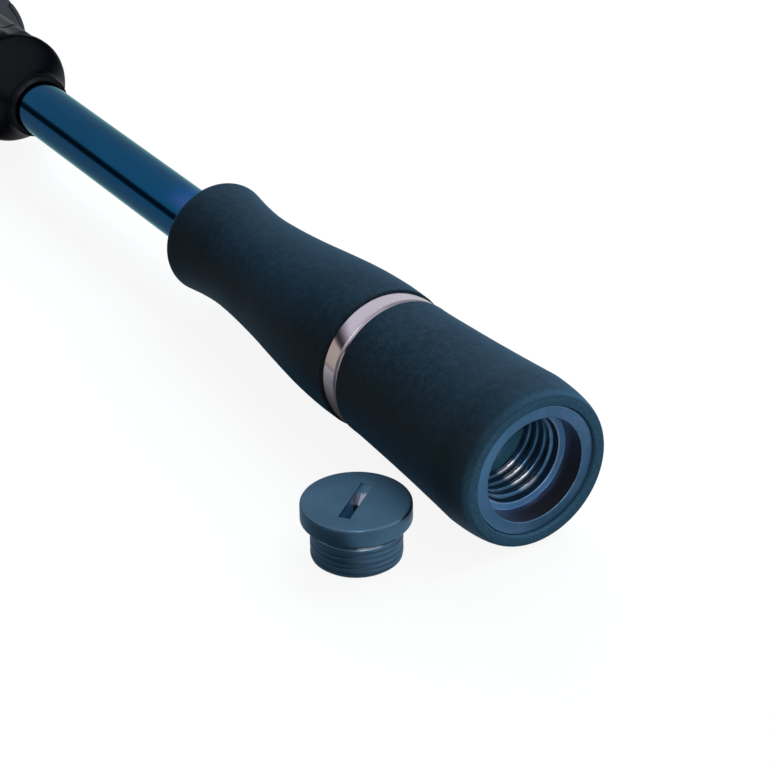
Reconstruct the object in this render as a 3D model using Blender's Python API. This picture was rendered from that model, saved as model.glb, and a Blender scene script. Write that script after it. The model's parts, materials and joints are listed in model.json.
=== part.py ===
"""Two-piece eging rod lying on a table, with its screw plug standing beside the butt.

The rod is modelled along its own line: local X runs from the face of the butt cup to the tip, local Z is
up, and the reel and the guides are on the local -Y side. Lengths are in metres and angles in radians.
"""
import math

import bmesh
import bpy
from mathutils import Matrix, Vector

MM = 0.001
GAP = 0.15 * MM           # clearance between neighbouring pieces
TRIM_GAP = 0.12 * MM      # clearance under windings and guide feet

# Butt cup: the ring face is at x = 0, and the plug's thread starts behind the counterbore
CUP_R = 11.0 * MM
COUNTERBORE_R = 8.93 * MM
COUNTERBORE_DEPTH = 4.4 * MM
LEDGE_R = 7.75 * MM
THREAD_BORE_R = 7.5 * MM
BORE_DEPTH = 13.8 * MM
CUP_LENGTH = 15.4 * MM
NECK_LENGTH = 7.0 * MM    # the cup's neck, which holds the end of the blank
NECK_R = 6.9 * MM

# Handle
GRIP_END = -0.57 * MM     # the foam stands a little proud of the cup's face
GRIP_END_R = 12.66 * MM
GRIP_R = 13.95 * MM       # widest radius, which the rod lies on
GRIP_R_X = 7.6 * MM
BAND_START = 38.2 * MM
BAND_END = 42.7 * MM
BAND_R = 12.15 * MM
BAND_STEP = 0.3 * MM       # the band's rear edge is this much lower
REAR_GRIP_TAPER = ((7.6, 13.95), (13.5, 13.52), (22.0, 12.99), (31.0, 12.55), (35.6, 12.36), (38.2, 12.34))
FRONT_GRIP_WAIST = ((42.7, 12.5), (48.0, 12.54), (55.0, 12.2), (63.0, 11.37), (71.0, 10.42), (79.0, 9.72),
                    (86.4, 9.44), (92.5, 9.84), (97.4, 10.49))
FRONT_GRIP_END = 99.4 * MM
FRONT_GRIP_END_R = 5.9 * MM
GRIP_SIDES = 28

# Blank
BLANK_R = 5.3 * MM
BLANK_STRAIGHT = 180.0 * MM
BLANK_WALL = 0.9 * MM
JOINT_X = 1205.0 * MM
JOINT_R = 3.4 * MM
SPIGOT_LENGTH = 58.0 * MM
SPIGOT_END_R = 3.25 * MM
SOCKET_R = 4.2 * MM
SOCKET_DEPTH = 62.0 * MM
UPPER_BORE_END = 1900.0 * MM
TIP_X = 2432.0 * MM
TIP_R = 0.85 * MM
BLANK_SIDES = 16

# Reel seat
SEAT_START = 168.0 * MM
SEAT_TRIM_R = 11.2 * MM    # the rear trim flares from a ring on the blank to this rim
SEAT_TRIM_LENGTH = 13.2 * MM
SEAT_END = 284.0 * MM
SEAT_R = 9.0 * MM
SEAT_BORE_R = 7.4 * MM
SADDLE_FLAT = 8.0 * MM    # distance from the rod's line to the flat under the reel foot
SADDLE_START = 217.6 * MM  # between the two hoods the flat stands a little proud, as the reel foot's own seat
SADDLE_END = 261.0 * MM
SADDLE_RELIEF = 0.1 * MM
SWELL_START = 234.0 * MM
SWELL_END = 261.0 * MM
SWELL_HEIGHT = 2.1 * MM
NUT_START = 183.4 * MM
NUT_LENGTH = 13.2 * MM
NUT_R = 11.1 * MM
NUT_LOBES = 12
NUT_LOBE_HEIGHT = 0.45 * MM
HOOD_START = 197.0 * MM
HOOD_LENGTH = 19.5 * MM
FIXED_HOOD_MOUTH = 262.0 * MM
HOOD_R = 10.4 * MM
HOOD_ROOF_R = 14.2 * MM
HOOD_WALL = 1.2 * MM
HOOD_POCKET_DEPTH = 13.5 * MM
HOOD_POCKET_ANGLE = math.radians(33)
CHECK_LENGTH = 6.5 * MM

# Line guides: distance from the butt, ring diameter, ring height above the blank, number of feet
GUIDES = (
    (860, 20.0, 24.0, 2),
    (1130, 10.0, 13.0, 2),
    (1380, 7.0, 9.0, 1),
    (1600, 5.5, 6.5, 1),
    (1800, 5.5, 6.0, 1),
    (1980, 5.5, 5.5, 1),
    (2150, 5.5, 5.0, 1),
    (2300, 5.5, 5.0, 1),
)
GUIDE_LEAN = math.radians(20)
TIP_RING_D = 5.5 * MM
TIP_RING_X = 2436.0 * MM
TIP_RING_HEIGHT = 4.6 * MM

# Plug: it stands upright on the table, so its heights are measured from the table
PLUG_X = 13.47 * MM
PLUG_Y = 24.31 * MM
PLUG_HEIGHT = 10.0 * MM
HEAD_R = 8.79 * MM
HEAD_UNDERSIDE = 6.69 * MM
HEAD_CHAMFER = 0.34 * MM
HEAD_EDGE = 0.58 * MM
PLUG_THREAD_R = 7.29 * MM
PLUG_FOOT_CHAMFER = 0.87 * MM
PLUG_FOOT_R = 6.59 * MM
SEAL_GROOVE_START = 5.65 * MM
SEAL_GROOVE_R = 6.2 * MM
SEAL_R = 6.8 * MM
SEAL_CORD_R = 0.45 * MM
SEAL_HEIGHT = 6.17 * MM
PLUG_BORE_R = 4.8 * MM
PLUG_BORE_DEPTH = 6.9 * MM
SLOT_WIDTH = 1.85 * MM
SLOT_CUTTER_R = 5.7 * MM
SLOT_CUTTER_RISE = 2.1 * MM
SLOT_TURN = math.radians(-53)


def clear_scene():
    for obj in list(bpy.data.objects):
        bpy.data.objects.remove(obj, do_unlink=True)


def finish(name, colour, roughness, metallic=0.0):
    material = bpy.data.materials.new(name)
    material.use_nodes = True
    shader = material.node_tree.nodes["Principled BSDF"]
    shader.inputs["Base Color"].default_value = (*colour, 1.0)
    shader.inputs["Roughness"].default_value = roughness
    shader.inputs["Metallic"].default_value = metallic
    material.diffuse_color = (*colour, 1.0)
    return material


def empty(name, parent=None, location=(0, 0, 0), turn=(0, 0, 0)):
    holder = bpy.data.objects.new(name, None)
    bpy.context.collection.objects.link(holder)
    holder.parent = parent
    holder.location = location
    holder.rotation_euler = turn
    return holder


def piece(name, bm, material, parent=None):
    """Turn a bmesh into a named object with its faces pointing out."""
    bmesh.ops.recalc_face_normals(bm, faces=bm.faces)
    mesh = bpy.data.meshes.new(name)
    bm.to_mesh(mesh)
    bm.free()
    mesh.materials.append(material)
    mesh.shade_smooth()
    mesh.set_sharp_from_angle(angle=math.radians(35))
    obj = bpy.data.objects.new(name, mesh)
    bpy.context.collection.objects.link(obj)
    obj.parent = parent
    return obj


def in_mm(points):
    return [(x * MM, r * MM) for x, r in points]


def quarter_round(start, end, steps, bulge_first=True):
    """An elliptical quarter from start to end, running along the radius first or along x first."""
    (x0, r0), (x1, r1) = start, end
    arc = []
    for step in range(steps + 1):
        t = 0.5 * math.pi * step / steps
        across, along = (math.sin(t), 1 - math.cos(t)) if bulge_first else (1 - math.cos(t), math.sin(t))
        arc.append((x0 + (x1 - x0) * along, r0 + (r1 - r0) * across))
    return arc


def turned(outline, sides):
    """Spin (x, radius) points about X. An outline that starts and ends on the axis is left open there."""
    bm = bmesh.new()
    turn = -0.5 * math.pi + math.pi / sides      # a flat, not an edge, faces straight down
    verts = [bm.verts.new((x, r * math.cos(turn), r * math.sin(turn))) for x, r in outline]
    edges = [bm.edges.new(pair) for pair in zip(verts, verts[1:])]
    if outline[0][1] > 0.0:
        edges.append(bm.edges.new((verts[-1], verts[0])))
    bmesh.ops.spin(bm, geom=verts + edges, cent=(0, 0, 0), axis=(1, 0, 0), angle=2 * math.pi, steps=sides,
                   use_merge=True)
    bmesh.ops.remove_doubles(bm, verts=bm.verts, dist=1e-7)
    return bm


def loft(loops, hollow):
    """Skin a row of equal loops. A hollow form closes its last loop back to its first."""
    bm = bmesh.new()
    rings = [[bm.verts.new(point) for point in loop] for loop in loops]
    pairs = list(zip(rings, rings[1:]))
    if hollow:
        pairs.append((rings[-1], rings[0]))
    for near, far in pairs:
        for k in range(len(near)):
            following = (k + 1) % len(near)
            bm.faces.new((near[k], near[following], far[following], far[k]))
    if not hollow:
        bm.faces.new(rings[0])
        bm.faces.new(rings[-1])
    return bm


def sleeve(outside, inside, angles):
    """A tube around X. Both lists hold (x, radius), with the radius a function of the angle from -Y."""
    loops = [[Vector((x, -radius(a) * math.cos(a), radius(a) * math.sin(a))) for a in angles]
             for x, radius in outside + inside[::-1]]
    return loft(loops, hollow=True)


def even_angles(count):
    return [2 * math.pi * (k + 0.5) / count for k in range(count)]


def swept(path, radius, sides):
    """A round wire along a path of points."""
    loops = []
    for k, point in enumerate(path):
        along = (path[min(k + 1, len(path) - 1)] - path[max(k - 1, 0)]).normalized()
        across = along.cross(Vector((0, 0, 1)))
        if across.length < 0.1:
            across = along.cross(Vector((0, 1, 0)))
        across.normalize()
        upward = along.cross(across)
        loops.append([point + radius * (math.cos(a) * across + math.sin(a) * upward) for a in even_angles(sides)])
    return loft(loops, hollow=False)


def united(name, forms, material, parent):
    """Join overlapping forms into one solid."""
    first, *others = [piece(name + "_form", bm, material) for bm in forms]
    for other in others:
        join = first.modifiers.new("join", "BOOLEAN")
        join.operation = "UNION"
        join.solver = "EXACT"
        join.object = other
    solid = bmesh.new()
    solid.from_object(first, bpy.context.evaluated_depsgraph_get())
    bmesh.ops.remove_doubles(solid, verts=solid.verts, dist=1e-8)
    bmesh.ops.triangulate(solid, faces=solid.faces)
    for form in (first, *others):
        bpy.data.objects.remove(form, do_unlink=True)
    return piece(name, solid, material, parent)


def blank_radius(x):
    """Outer radius of the blank's straight butt, its taper to the joint, and the upper blank's taper."""
    if x <= BLANK_STRAIGHT:
        return BLANK_R
    if x <= JOINT_X:
        return BLANK_R + (JOINT_R - BLANK_R) * (x - BLANK_STRAIGHT) / (JOINT_X - BLANK_STRAIGHT)
    return SOCKET_R + (TIP_R - SOCKET_R) * (x - JOINT_X) / (TIP_X - JOINT_X)


def ring_outer_radius(diameter):
    """Outer radius of a guide frame's ring around an insert of this diameter."""
    return 0.5 * diameter + 0.4 * MM + 0.02 * diameter


def guide_forward(height):
    """How far a guide's ring centre stands forward of its root on the blank."""
    return height * math.tan(GUIDE_LEAN)


def world_points(objects):
    bpy.context.view_layer.update()
    return [obj.matrix_world @ vertex.co for obj in objects for vertex in obj.data.vertices]


def lie_down(rod, reel_sides):
    """Settle the rod on its three supports: the rear grip, the first guide's rim and the tip ring."""
    distance, diameter, height, feet = GUIDES[0]
    reach = blank_radius(distance * MM) + height * MM
    share = distance * MM / TIP_RING_X
    supports = [bpy.data.objects[name] for name in ("rear_grip", "guide_1_frame", "tip_top_frame")]
    for _ in range(8):
        heel, rim, tip = (min(point.z for point in world_points([support])) for support in supports)
        rod.location.z -= heel
        rod.rotation_euler.y += (tip - heel) / TIP_RING_X
        for side in reel_sides:
            side.rotation_euler.x += (rim - heel - share * (tip - heel)) / reach


def centre_the_layout(holders):
    """Put the middle of the whole object's outline over the origin."""
    solids = [obj for obj in bpy.data.objects if obj.type == "MESH" and not obj.hide_render]
    points = world_points(solids)
    for axis in (0, 1):
        low = min(point[axis] for point in points)
        high = max(point[axis] for point in points)
        for holder in holders:
            holder.location[axis] -= 0.5 * (low + high)


def make_butt_cup(material, rod):
    neck_end = CUP_LENGTH + NECK_LENGTH
    outline = [
        (0.0, CUP_R - 0.3 * MM), (0.3 * MM, CUP_R), (CUP_LENGTH, CUP_R), (CUP_LENGTH, NECK_R),
        (neck_end, NECK_R), (neck_end, BLANK_R + GAP), (CUP_LENGTH, BLANK_R + GAP), (CUP_LENGTH, 2.0 * MM),
        (BORE_DEPTH, 2.0 * MM), (BORE_DEPTH, THREAD_BORE_R),
        (COUNTERBORE_DEPTH + 1.1 * MM, THREAD_BORE_R), (COUNTERBORE_DEPTH, LEDGE_R),
        (COUNTERBORE_DEPTH, COUNTERBORE_R), (0.2 * MM, COUNTERBORE_R), (0.0, COUNTERBORE_R + 0.2 * MM),
    ]
    piece("butt_cup", turned(outline, 28), material, rod)


def make_handle(foam, band_metal, rod):
    bore = [
        (BAND_START, BLANK_R + GAP), (CUP_LENGTH + NECK_LENGTH + GAP, BLANK_R + GAP),
        (CUP_LENGTH + NECK_LENGTH + GAP, NECK_R + GAP), (CUP_LENGTH + GAP, NECK_R + GAP),
        (CUP_LENGTH + GAP, CUP_R + GAP), (GRIP_END, CUP_R + GAP),
    ]
    rounding = quarter_round((GRIP_END, GRIP_END_R), (GRIP_R_X, GRIP_R), 5)
    taper = in_mm(REAR_GRIP_TAPER)[1:]
    piece("rear_grip", turned(rounding + taper + bore, GRIP_SIDES), foam, rod)

    low = BAND_R - BAND_STEP
    band = [
        (BAND_START + GAP, BLANK_R + GAP), (BAND_START + GAP, low), (BAND_START + 0.95 * MM, low),
        (BAND_START + 1.15 * MM, BAND_R), (BAND_END - GAP, BAND_R), (BAND_END - GAP, BLANK_R + GAP),
    ]
    piece("grip_band", turned(band, GRIP_SIDES), band_metal, rod)

    waist = in_mm(FRONT_GRIP_WAIST)
    nose = quarter_round(waist[-1], (FRONT_GRIP_END, FRONT_GRIP_END_R), 4, bulge_first=False)[1:]
    front_bore = [(FRONT_GRIP_END, BLANK_R + GAP), (BAND_END, BLANK_R + GAP)]
    piece("front_grip", turned(waist + nose + front_bore, GRIP_SIDES), foam, rod)


def make_blanks(material, winding, rod, upper):
    start = CUP_LENGTH + GAP
    spigot_end = JOINT_X + SPIGOT_LENGTH
    lower = [
        (start, BLANK_R), (BLANK_STRAIGHT, BLANK_R), (0.5 * (BLANK_STRAIGHT + JOINT_X),
                                                     blank_radius(0.5 * (BLANK_STRAIGHT + JOINT_X))),
        (JOINT_X, JOINT_R), (spigot_end - 1.0 * MM, SPIGOT_END_R), (spigot_end, SPIGOT_END_R - 0.4 * MM),
        (spigot_end, SPIGOT_END_R - BLANK_WALL), (JOINT_X, JOINT_R - BLANK_WALL),
        (BLANK_STRAIGHT, BLANK_R - BLANK_WALL), (start, BLANK_R - BLANK_WALL),
    ]
    piece("lower_blank", turned(lower, BLANK_SIDES), material, rod)

    socket_x = JOINT_X + GAP
    bore_r = JOINT_R + TRIM_GAP
    socket_end = socket_x + SOCKET_DEPTH
    bore_end_r = blank_radius(UPPER_BORE_END) - 0.6 * MM
    outline = [
        (UPPER_BORE_END, 0.0), (UPPER_BORE_END, bore_end_r), (socket_end, bore_r - 0.7 * MM), (socket_end, bore_r),
        (socket_x, bore_r), (socket_x, SOCKET_R - 0.15 * MM), (socket_x + 0.5 * MM, SOCKET_R),
        (0.5 * (JOINT_X + TIP_X), blank_radius(0.5 * (JOINT_X + TIP_X))), (TIP_X - 4.0 * MM, TIP_R + 0.01 * MM),
        (TIP_X, TIP_R), (TIP_X, 0.0),
    ]
    piece("upper_blank", turned(outline, BLANK_SIDES), material, upper)

    wound_start = JOINT_X + 1.5 * MM
    wound_end = JOINT_X + 36.0 * MM
    inner = SOCKET_R + TRIM_GAP
    socket_winding = [
        (wound_start, inner), (wound_start, inner + 0.2 * MM), (wound_start + 1.5 * MM, inner + 0.5 * MM),
        (wound_end - 3.0 * MM, inner + 0.5 * MM), (wound_end, inner + 0.15 * MM), (wound_end, inner),
    ]
    piece("joint_winding", turned(socket_winding, BLANK_SIDES), winding, upper)


def seat_surface(x, relief):
    """The seat body's outer radius at x: a barrel with a flat for the reel foot and a swell for the palm."""
    span = (x - SWELL_START) / (SWELL_END - SWELL_START)
    swell = SWELL_HEIGHT * math.sin(math.pi * span) ** 2 if 0.0 < span < 1.0 else 0.0

    def radius(angle):
        round_r = SEAT_R + swell * 0.5 * (1.0 - math.cos(angle))
        facing = math.cos(angle)
        return min(round_r, (SADDLE_FLAT - relief) / facing) if facing > 0.2 else round_r
    return radius


def constant(radius):
    return lambda angle: radius


def seat_angles():
    """Angles shared by the seat body and its hoods: dense over the flat and the pocket, even elsewhere."""
    flat = math.acos(SADDLE_FLAT / SEAT_R)
    side = (0.5 * flat, flat, HOOD_POCKET_ANGLE, HOOD_POCKET_ANGLE + 0.03)
    rest = 16
    span = 2 * math.pi - 2 * side[-1]
    around = [side[-1] + span * k / rest for k in range(1, rest)]
    return [-angle for angle in reversed(side)] + [0.0, *side, *around]


def hood_bump(angle):
    """1 over the reel foot's pocket, falling smoothly to 0 at the sides."""
    away = abs((angle + math.pi) % (2 * math.pi) - math.pi)
    full = HOOD_POCKET_ANGLE + math.radians(3)
    fade = math.radians(26)
    t = min(max((away - full) / fade, 0.0), 1.0)
    return 0.5 + 0.5 * math.cos(math.pi * t)


def hood_bore(angle):
    """The hood's bore follows the barrel and its flat, so the hood can't turn."""
    facing = math.cos(angle)
    bore = SEAT_R + GAP
    return min(bore, (SADDLE_FLAT + GAP) / facing) if facing > 0.2 else bore


def hood_pocket(angle):
    away = abs((angle + math.pi) % (2 * math.pi) - math.pi)
    return HOOD_ROOF_R if away < HOOD_POCKET_ANGLE + 1e-6 else hood_bore(angle)


def hood(mouth, direction):
    """A hood whose pocket opens at mouth and runs back from it in the given direction along X."""
    def outer(bump, ring_r=HOOD_R):
        return lambda angle: ring_r + (bump - (ring_r - HOOD_R)) * hood_bump(angle)
    full = HOOD_ROOF_R + HOOD_WALL - HOOD_R
    back = HOOD_LENGTH
    outside = [
        (0.0, outer(full - 0.3 * MM)), (0.5 * MM, outer(full)), (0.55 * back, outer(0.86 * full)),
        (0.8 * back, outer(0.45 * full)), (back - 0.8 * MM, outer(0.08 * full)), (back, outer(0.0, HOOD_R - 0.4 * MM)),
    ]
    inside = [(0.0, hood_pocket), (HOOD_POCKET_DEPTH, hood_pocket), (HOOD_POCKET_DEPTH, hood_bore), (back, hood_bore)]
    outside, inside = ([(mouth + direction * along, radius) for along, radius in side] for side in (outside, inside))
    return sleeve(outside, inside, seat_angles())


def nut_surface(height):
    def radius(angle):
        return NUT_R - NUT_LOBE_HEIGHT + height + NUT_LOBE_HEIGHT * math.cos(NUT_LOBES * angle)
    return radius


def make_reel_seat(plastic, metal, trim, arbor, rod, reel_side, hood_slide, nut_turn):
    trim_end = SEAT_START + SEAT_TRIM_LENGTH
    rear_trim = [
        (SEAT_START, BLANK_R + GAP), (SEAT_START, 5.7 * MM), (SEAT_START + 0.5 * MM, 6.3 * MM),
        (SEAT_START + 1.3 * MM, 6.45 * MM), (SEAT_START + 1.5 * MM, 6.2 * MM), (SEAT_START + 1.7 * MM, 6.5 * MM),
        (SEAT_START + 7.5 * MM, 9.05 * MM), (SEAT_START + 11.5 * MM, SEAT_TRIM_R), (trim_end, SEAT_TRIM_R),
        (trim_end, BLANK_R + GAP),
    ]
    piece("seat_rear_trim", turned(rear_trim, 20), trim, rod)

    body_start = trim_end + GAP
    ramp = 0.3 * MM
    stations = [(body_start, SADDLE_RELIEF), (SADDLE_START - ramp, SADDLE_RELIEF), (SADDLE_START, 0.0)]
    stations += [(SWELL_START + (SWELL_END - SWELL_START) * k / 6, 0.0) for k in range(6)]
    stations += [(SADDLE_END, 0.0), (SADDLE_END + ramp, SADDLE_RELIEF), (SEAT_END, SADDLE_RELIEF)]
    surface = [(x, seat_surface(x, relief)) for x, relief in stations]
    bore = [(x, constant(SEAT_BORE_R)) for x in (body_start, SEAT_END)]
    piece("seat_body", sleeve(surface, bore, seat_angles()), plastic, reel_side)

    for name, start, end in (("rear_arbor", 183.0, 203.0), ("front_arbor", 250.0, 280.0)):
        core = [
            (start * MM, BLANK_R + GAP), (start * MM, SEAT_BORE_R - GAP), (end * MM, SEAT_BORE_R - GAP),
            (end * MM, BLANK_R + GAP),
        ]
        piece(name, turned(core, 16), arbor, rod)

    piece("moving_hood", hood(HOOD_START + HOOD_LENGTH, -1), metal, hood_slide)
    piece("fixed_hood", hood(FIXED_HOOD_MOUTH, 1), metal, reel_side)

    lobed = [2 * math.pi * (k + 0.5) / (4 * NUT_LOBES) for k in range(4 * NUT_LOBES)]
    nut_end = NUT_START + NUT_LENGTH
    surface = [
        (NUT_START, nut_surface(-0.8 * MM)), (NUT_START + 0.9 * MM, nut_surface(0.0)),
        (nut_end - 0.9 * MM, nut_surface(0.0)), (nut_end, nut_surface(-0.5 * MM)),
    ]
    bore = [(x, constant(SEAT_R + GAP)) for x in (NUT_START, nut_end)]
    piece("lock_nut", sleeve(surface, bore, lobed), plastic, nut_turn)

    start = SEAT_END + GAP
    end = start + CHECK_LENGTH
    outer = quarter_round((start, 9.3 * MM), (end, 6.1 * MM), 3, bulge_first=False)
    front_check = [(start, BLANK_R + GAP), *outer, (end, BLANK_R + GAP)]
    piece("front_check", turned(front_check, 20), metal, rod)


def foot_form(root, direction, blank_r, width, thickness, length):
    """A guide's foot: a plate on the blank, thinning away from the guide's root."""
    base = blank_r + TRIM_GAP
    loops = []
    for along, wide, thick in ((-0.05, 1.0, 1.0), (1.0, 0.6, 0.3)):
        x = root + direction * along * length
        half = 0.5 * width * wide
        top = base + thickness * thick
        loops.append([Vector((x, -base, -half)), Vector((x, -base, half)),
                      Vector((x, -top, 0.6 * half)), Vector((x, -top, -0.6 * half))])
    return loft(loops, hollow=False)


def bend(start, corner, end, steps):
    """A quadratic curve from start to end, pulled towards corner."""
    return [start.lerp(corner, k / steps).lerp(corner.lerp(end, k / steps), k / steps) for k in range(steps + 1)]


def leg(root, direction, blank_r, side_step, end, radius, sides):
    """A wire from a foot's root on the blank up to a point on the ring."""
    saddle = -blank_r - TRIM_GAP - 0.03 * MM - radius
    start, bend_start, corner = (Vector((root - direction * forward, saddle, side_step))
                                 for forward in (-0.25 * MM, 0.35 * MM, 1.5 * MM))
    return swept([start, *bend(bend_start, corner, end, 3)], radius, sides)


def ring_outline(inner_r, outer_r, half_width, edge):
    return [
        (-half_width, inner_r), (-half_width, outer_r - edge), (-half_width + edge, outer_r),
        (half_width - edge, outer_r), (half_width, outer_r - edge), (half_width, inner_r),
    ]


def lean_and_place(bm, centre):
    """Lean a ring made around X forward, with its middle at centre."""
    bmesh.ops.transform(bm, verts=bm.verts, matrix=Matrix.Translation(centre) @ Matrix.Rotation(GUIDE_LEAN, 4, "Z"))
    return bm


def ring_point(centre, radius, angle):
    """A point on a leaning ring, with the angle measured from the side nearest the blank."""
    outward = Vector((math.sin(GUIDE_LEAN), -math.cos(GUIDE_LEAN), 0.0))
    return centre + radius * (-math.cos(angle) * outward + math.sin(angle) * Vector((0, 0, 1)))


def guide_rings(diameter, centre, sides):
    """The frame's ring and the insert that it holds."""
    outer = ring_outer_radius(diameter)
    inner = 0.5 * diameter
    half_width = 0.5 * MM + 0.025 * diameter
    frame_ring = lean_and_place(turned(ring_outline(inner, outer, half_width, 0.12 * MM), sides), centre)
    thickness = 0.55 * MM + 0.06 * diameter
    insert_r = inner - 0.06 * MM
    middle = insert_r - thickness
    bulge = half_width + 0.15 * MM
    shoulder = insert_r - 0.4 * thickness
    outline = [(-half_width, insert_r), (half_width, insert_r), (bulge, shoulder), (0.0, middle), (-bulge, shoulder)]
    return frame_ring, lean_and_place(turned(outline, sides), centre)


def winding_sleeve(root, direction, blank_r, foot_width, foot_thickness, foot_length):
    """Thread and resin wound over a foot: a thin sleeve with a raised back and a tunnel for the foot."""
    half = 0.5 * foot_width
    top = blank_r + TRIM_GAP + foot_thickness
    tunnel_r = math.hypot(top, 0.62 * half) + TRIM_GAP
    edge = math.atan2(half + TRIM_GAP, blank_r) + math.radians(2)
    rest = 12
    rest_step = (2 * math.pi - 2 * edge - 0.1) / rest
    inner_r = (blank_r + 0.5 * TRIM_GAP) / math.cos(0.5 * rest_step)
    wall = 0.35 * MM

    def raised(amount, skin):
        def radius(angle):
            away = abs((angle + math.pi) % (2 * math.pi) - math.pi)
            t = min(max((away - edge) / math.radians(45), 0.0), 1.0)
            lift = (0.5 + 0.5 * math.cos(math.pi * t)) * (tunnel_r - inner_r) * amount
            return inner_r + skin + lift
        return radius

    def tunnel(amount):
        def radius(angle):
            away = abs((angle + math.pi) % (2 * math.pi) - math.pi)
            return inner_r + (tunnel_r - inner_r) * amount if away < edge + 1e-6 else inner_r
        return radius

    start, end = 0.6 * MM, foot_length + 2.2 * MM
    outside = [(start, raised(1.0, wall)), (foot_length + 0.3 * MM, raised(0.5, wall)), (end, raised(0.0, 0.5 * wall))]
    inside = [(start, tunnel(1.0)), (foot_length + 0.3 * MM, tunnel(0.45)), (end, tunnel(0.0))]
    outside, inside = ([(root + direction * along, radius) for along, radius in side] for side in (outside, inside))
    angles = [-edge - 0.05, -edge, -0.5 * edge, 0.0, 0.5 * edge, edge, edge + 0.05]
    angles += [edge + 0.05 + rest_step * k for k in range(1, rest)]
    return sleeve(outside, inside, angles)


def make_guide(number, distance, diameter, height, feet, metal, ceramic, winding, parent):
    """One forward-leaning guide: two rear legs to the ring's sides, and on large guides a front leg."""
    root = distance * MM
    diameter = diameter * MM
    height = height * MM
    large = feet == 2
    blank_r = blank_radius(root - 16.0 * MM)
    centre = Vector((root + guide_forward(height), -blank_r - height, 0.0))
    wire_r = (0.42 + 0.022 * diameter / MM) * MM
    foot_width = 2.6 * wire_r
    foot_thickness = 1.2 * wire_r
    foot_length = (7.0 + 0.35 * diameter / MM) * MM
    leg_sides = 6 if large else 5
    frame_ring, insert = guide_rings(diameter, centre, 24 if large else 16)
    side_wire_r = 0.8 * wire_r
    side_r = 0.5 * diameter + side_wire_r + 0.05 * MM

    forms = [frame_ring, foot_form(root, -1, blank_r, foot_width, foot_thickness, foot_length)]
    for side in (-1, 1):
        end = ring_point(centre, side_r, side * math.radians(60))
        forms.append(leg(root, -1, blank_r, side * 1.08 * side_wire_r, end, side_wire_r, leg_sides))
    roots = [("", root, -1, blank_r)]
    if large:
        front_root = centre.x + 0.16 * height
        front_r = blank_radius(front_root)
        forms.append(foot_form(front_root, 1, front_r, foot_width, foot_thickness, foot_length))
        end = ring_point(centre, 0.5 * diameter + 0.5 * MM, 0.0)
        forms.append(leg(front_root, 1, front_r, 0.0, end, wire_r, leg_sides))
        roots = [("_rear", root, -1, blank_r), ("_front", front_root, 1, front_r)]

    united(f"guide_{number}_frame", forms, metal, parent)
    piece(f"guide_{number}_ring", insert, ceramic, parent)
    for suffix, place, direction, inner_r in roots:
        wound = winding_sleeve(place, direction, inner_r, foot_width, foot_thickness, foot_length)
        piece(f"guide_{number}_winding{suffix}", wound, winding, parent)


def make_tip_top(metal, ceramic, winding, parent):
    """The tip's guide: a tube over the end of the blank, two legs and a ring."""
    bore = TIP_R + TRIM_GAP
    wall = 0.45 * MM
    tube_start = TIP_X - 9.0 * MM
    tube_end = TIP_X + 0.8 * MM
    tube = [
        (TIP_X + GAP, 0.0), (TIP_X + GAP, bore), (tube_start, bore), (tube_start, bore + wall),
        (tube_end - 0.3 * MM, bore + wall), (tube_end, bore + 0.3 * wall), (tube_end, 0.0),
    ]
    centre = Vector((TIP_RING_X, -TIP_RING_HEIGHT, 0.0))
    frame_ring, insert = guide_rings(TIP_RING_D, centre, 16)
    forms = [frame_ring, turned(tube, 10)]
    leg_r = 0.42 * MM
    for side in (-1, 1):
        start = Vector((TIP_X - 5.0 * MM, -bore - 0.2 * MM, side * 0.4 * MM))
        corner = Vector((TIP_X - 1.5 * MM, -bore - 1.0 * MM, side * 0.9 * MM))
        end = ring_point(centre, 0.5 * TIP_RING_D + leg_r + 0.05 * MM, side * math.radians(52))
        forms.append(swept(bend(start, corner, end, 3), leg_r, 5))
    united("tip_top_frame", forms, metal, parent)
    piece("tip_top_ring", insert, ceramic, parent)
    inner = blank_radius(tube_start - 8.0 * MM) + TRIM_GAP
    start, end = tube_start - 8.0 * MM, tube_start - 0.2 * MM
    outline = [
        (start, inner), (start, inner + 0.15 * MM), (start + 1.5 * MM, inner + 0.35 * MM),
        (end, inner + 0.4 * MM), (end, inner),
    ]
    piece("tip_top_winding", turned(outline, 12), winding, parent)


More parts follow.
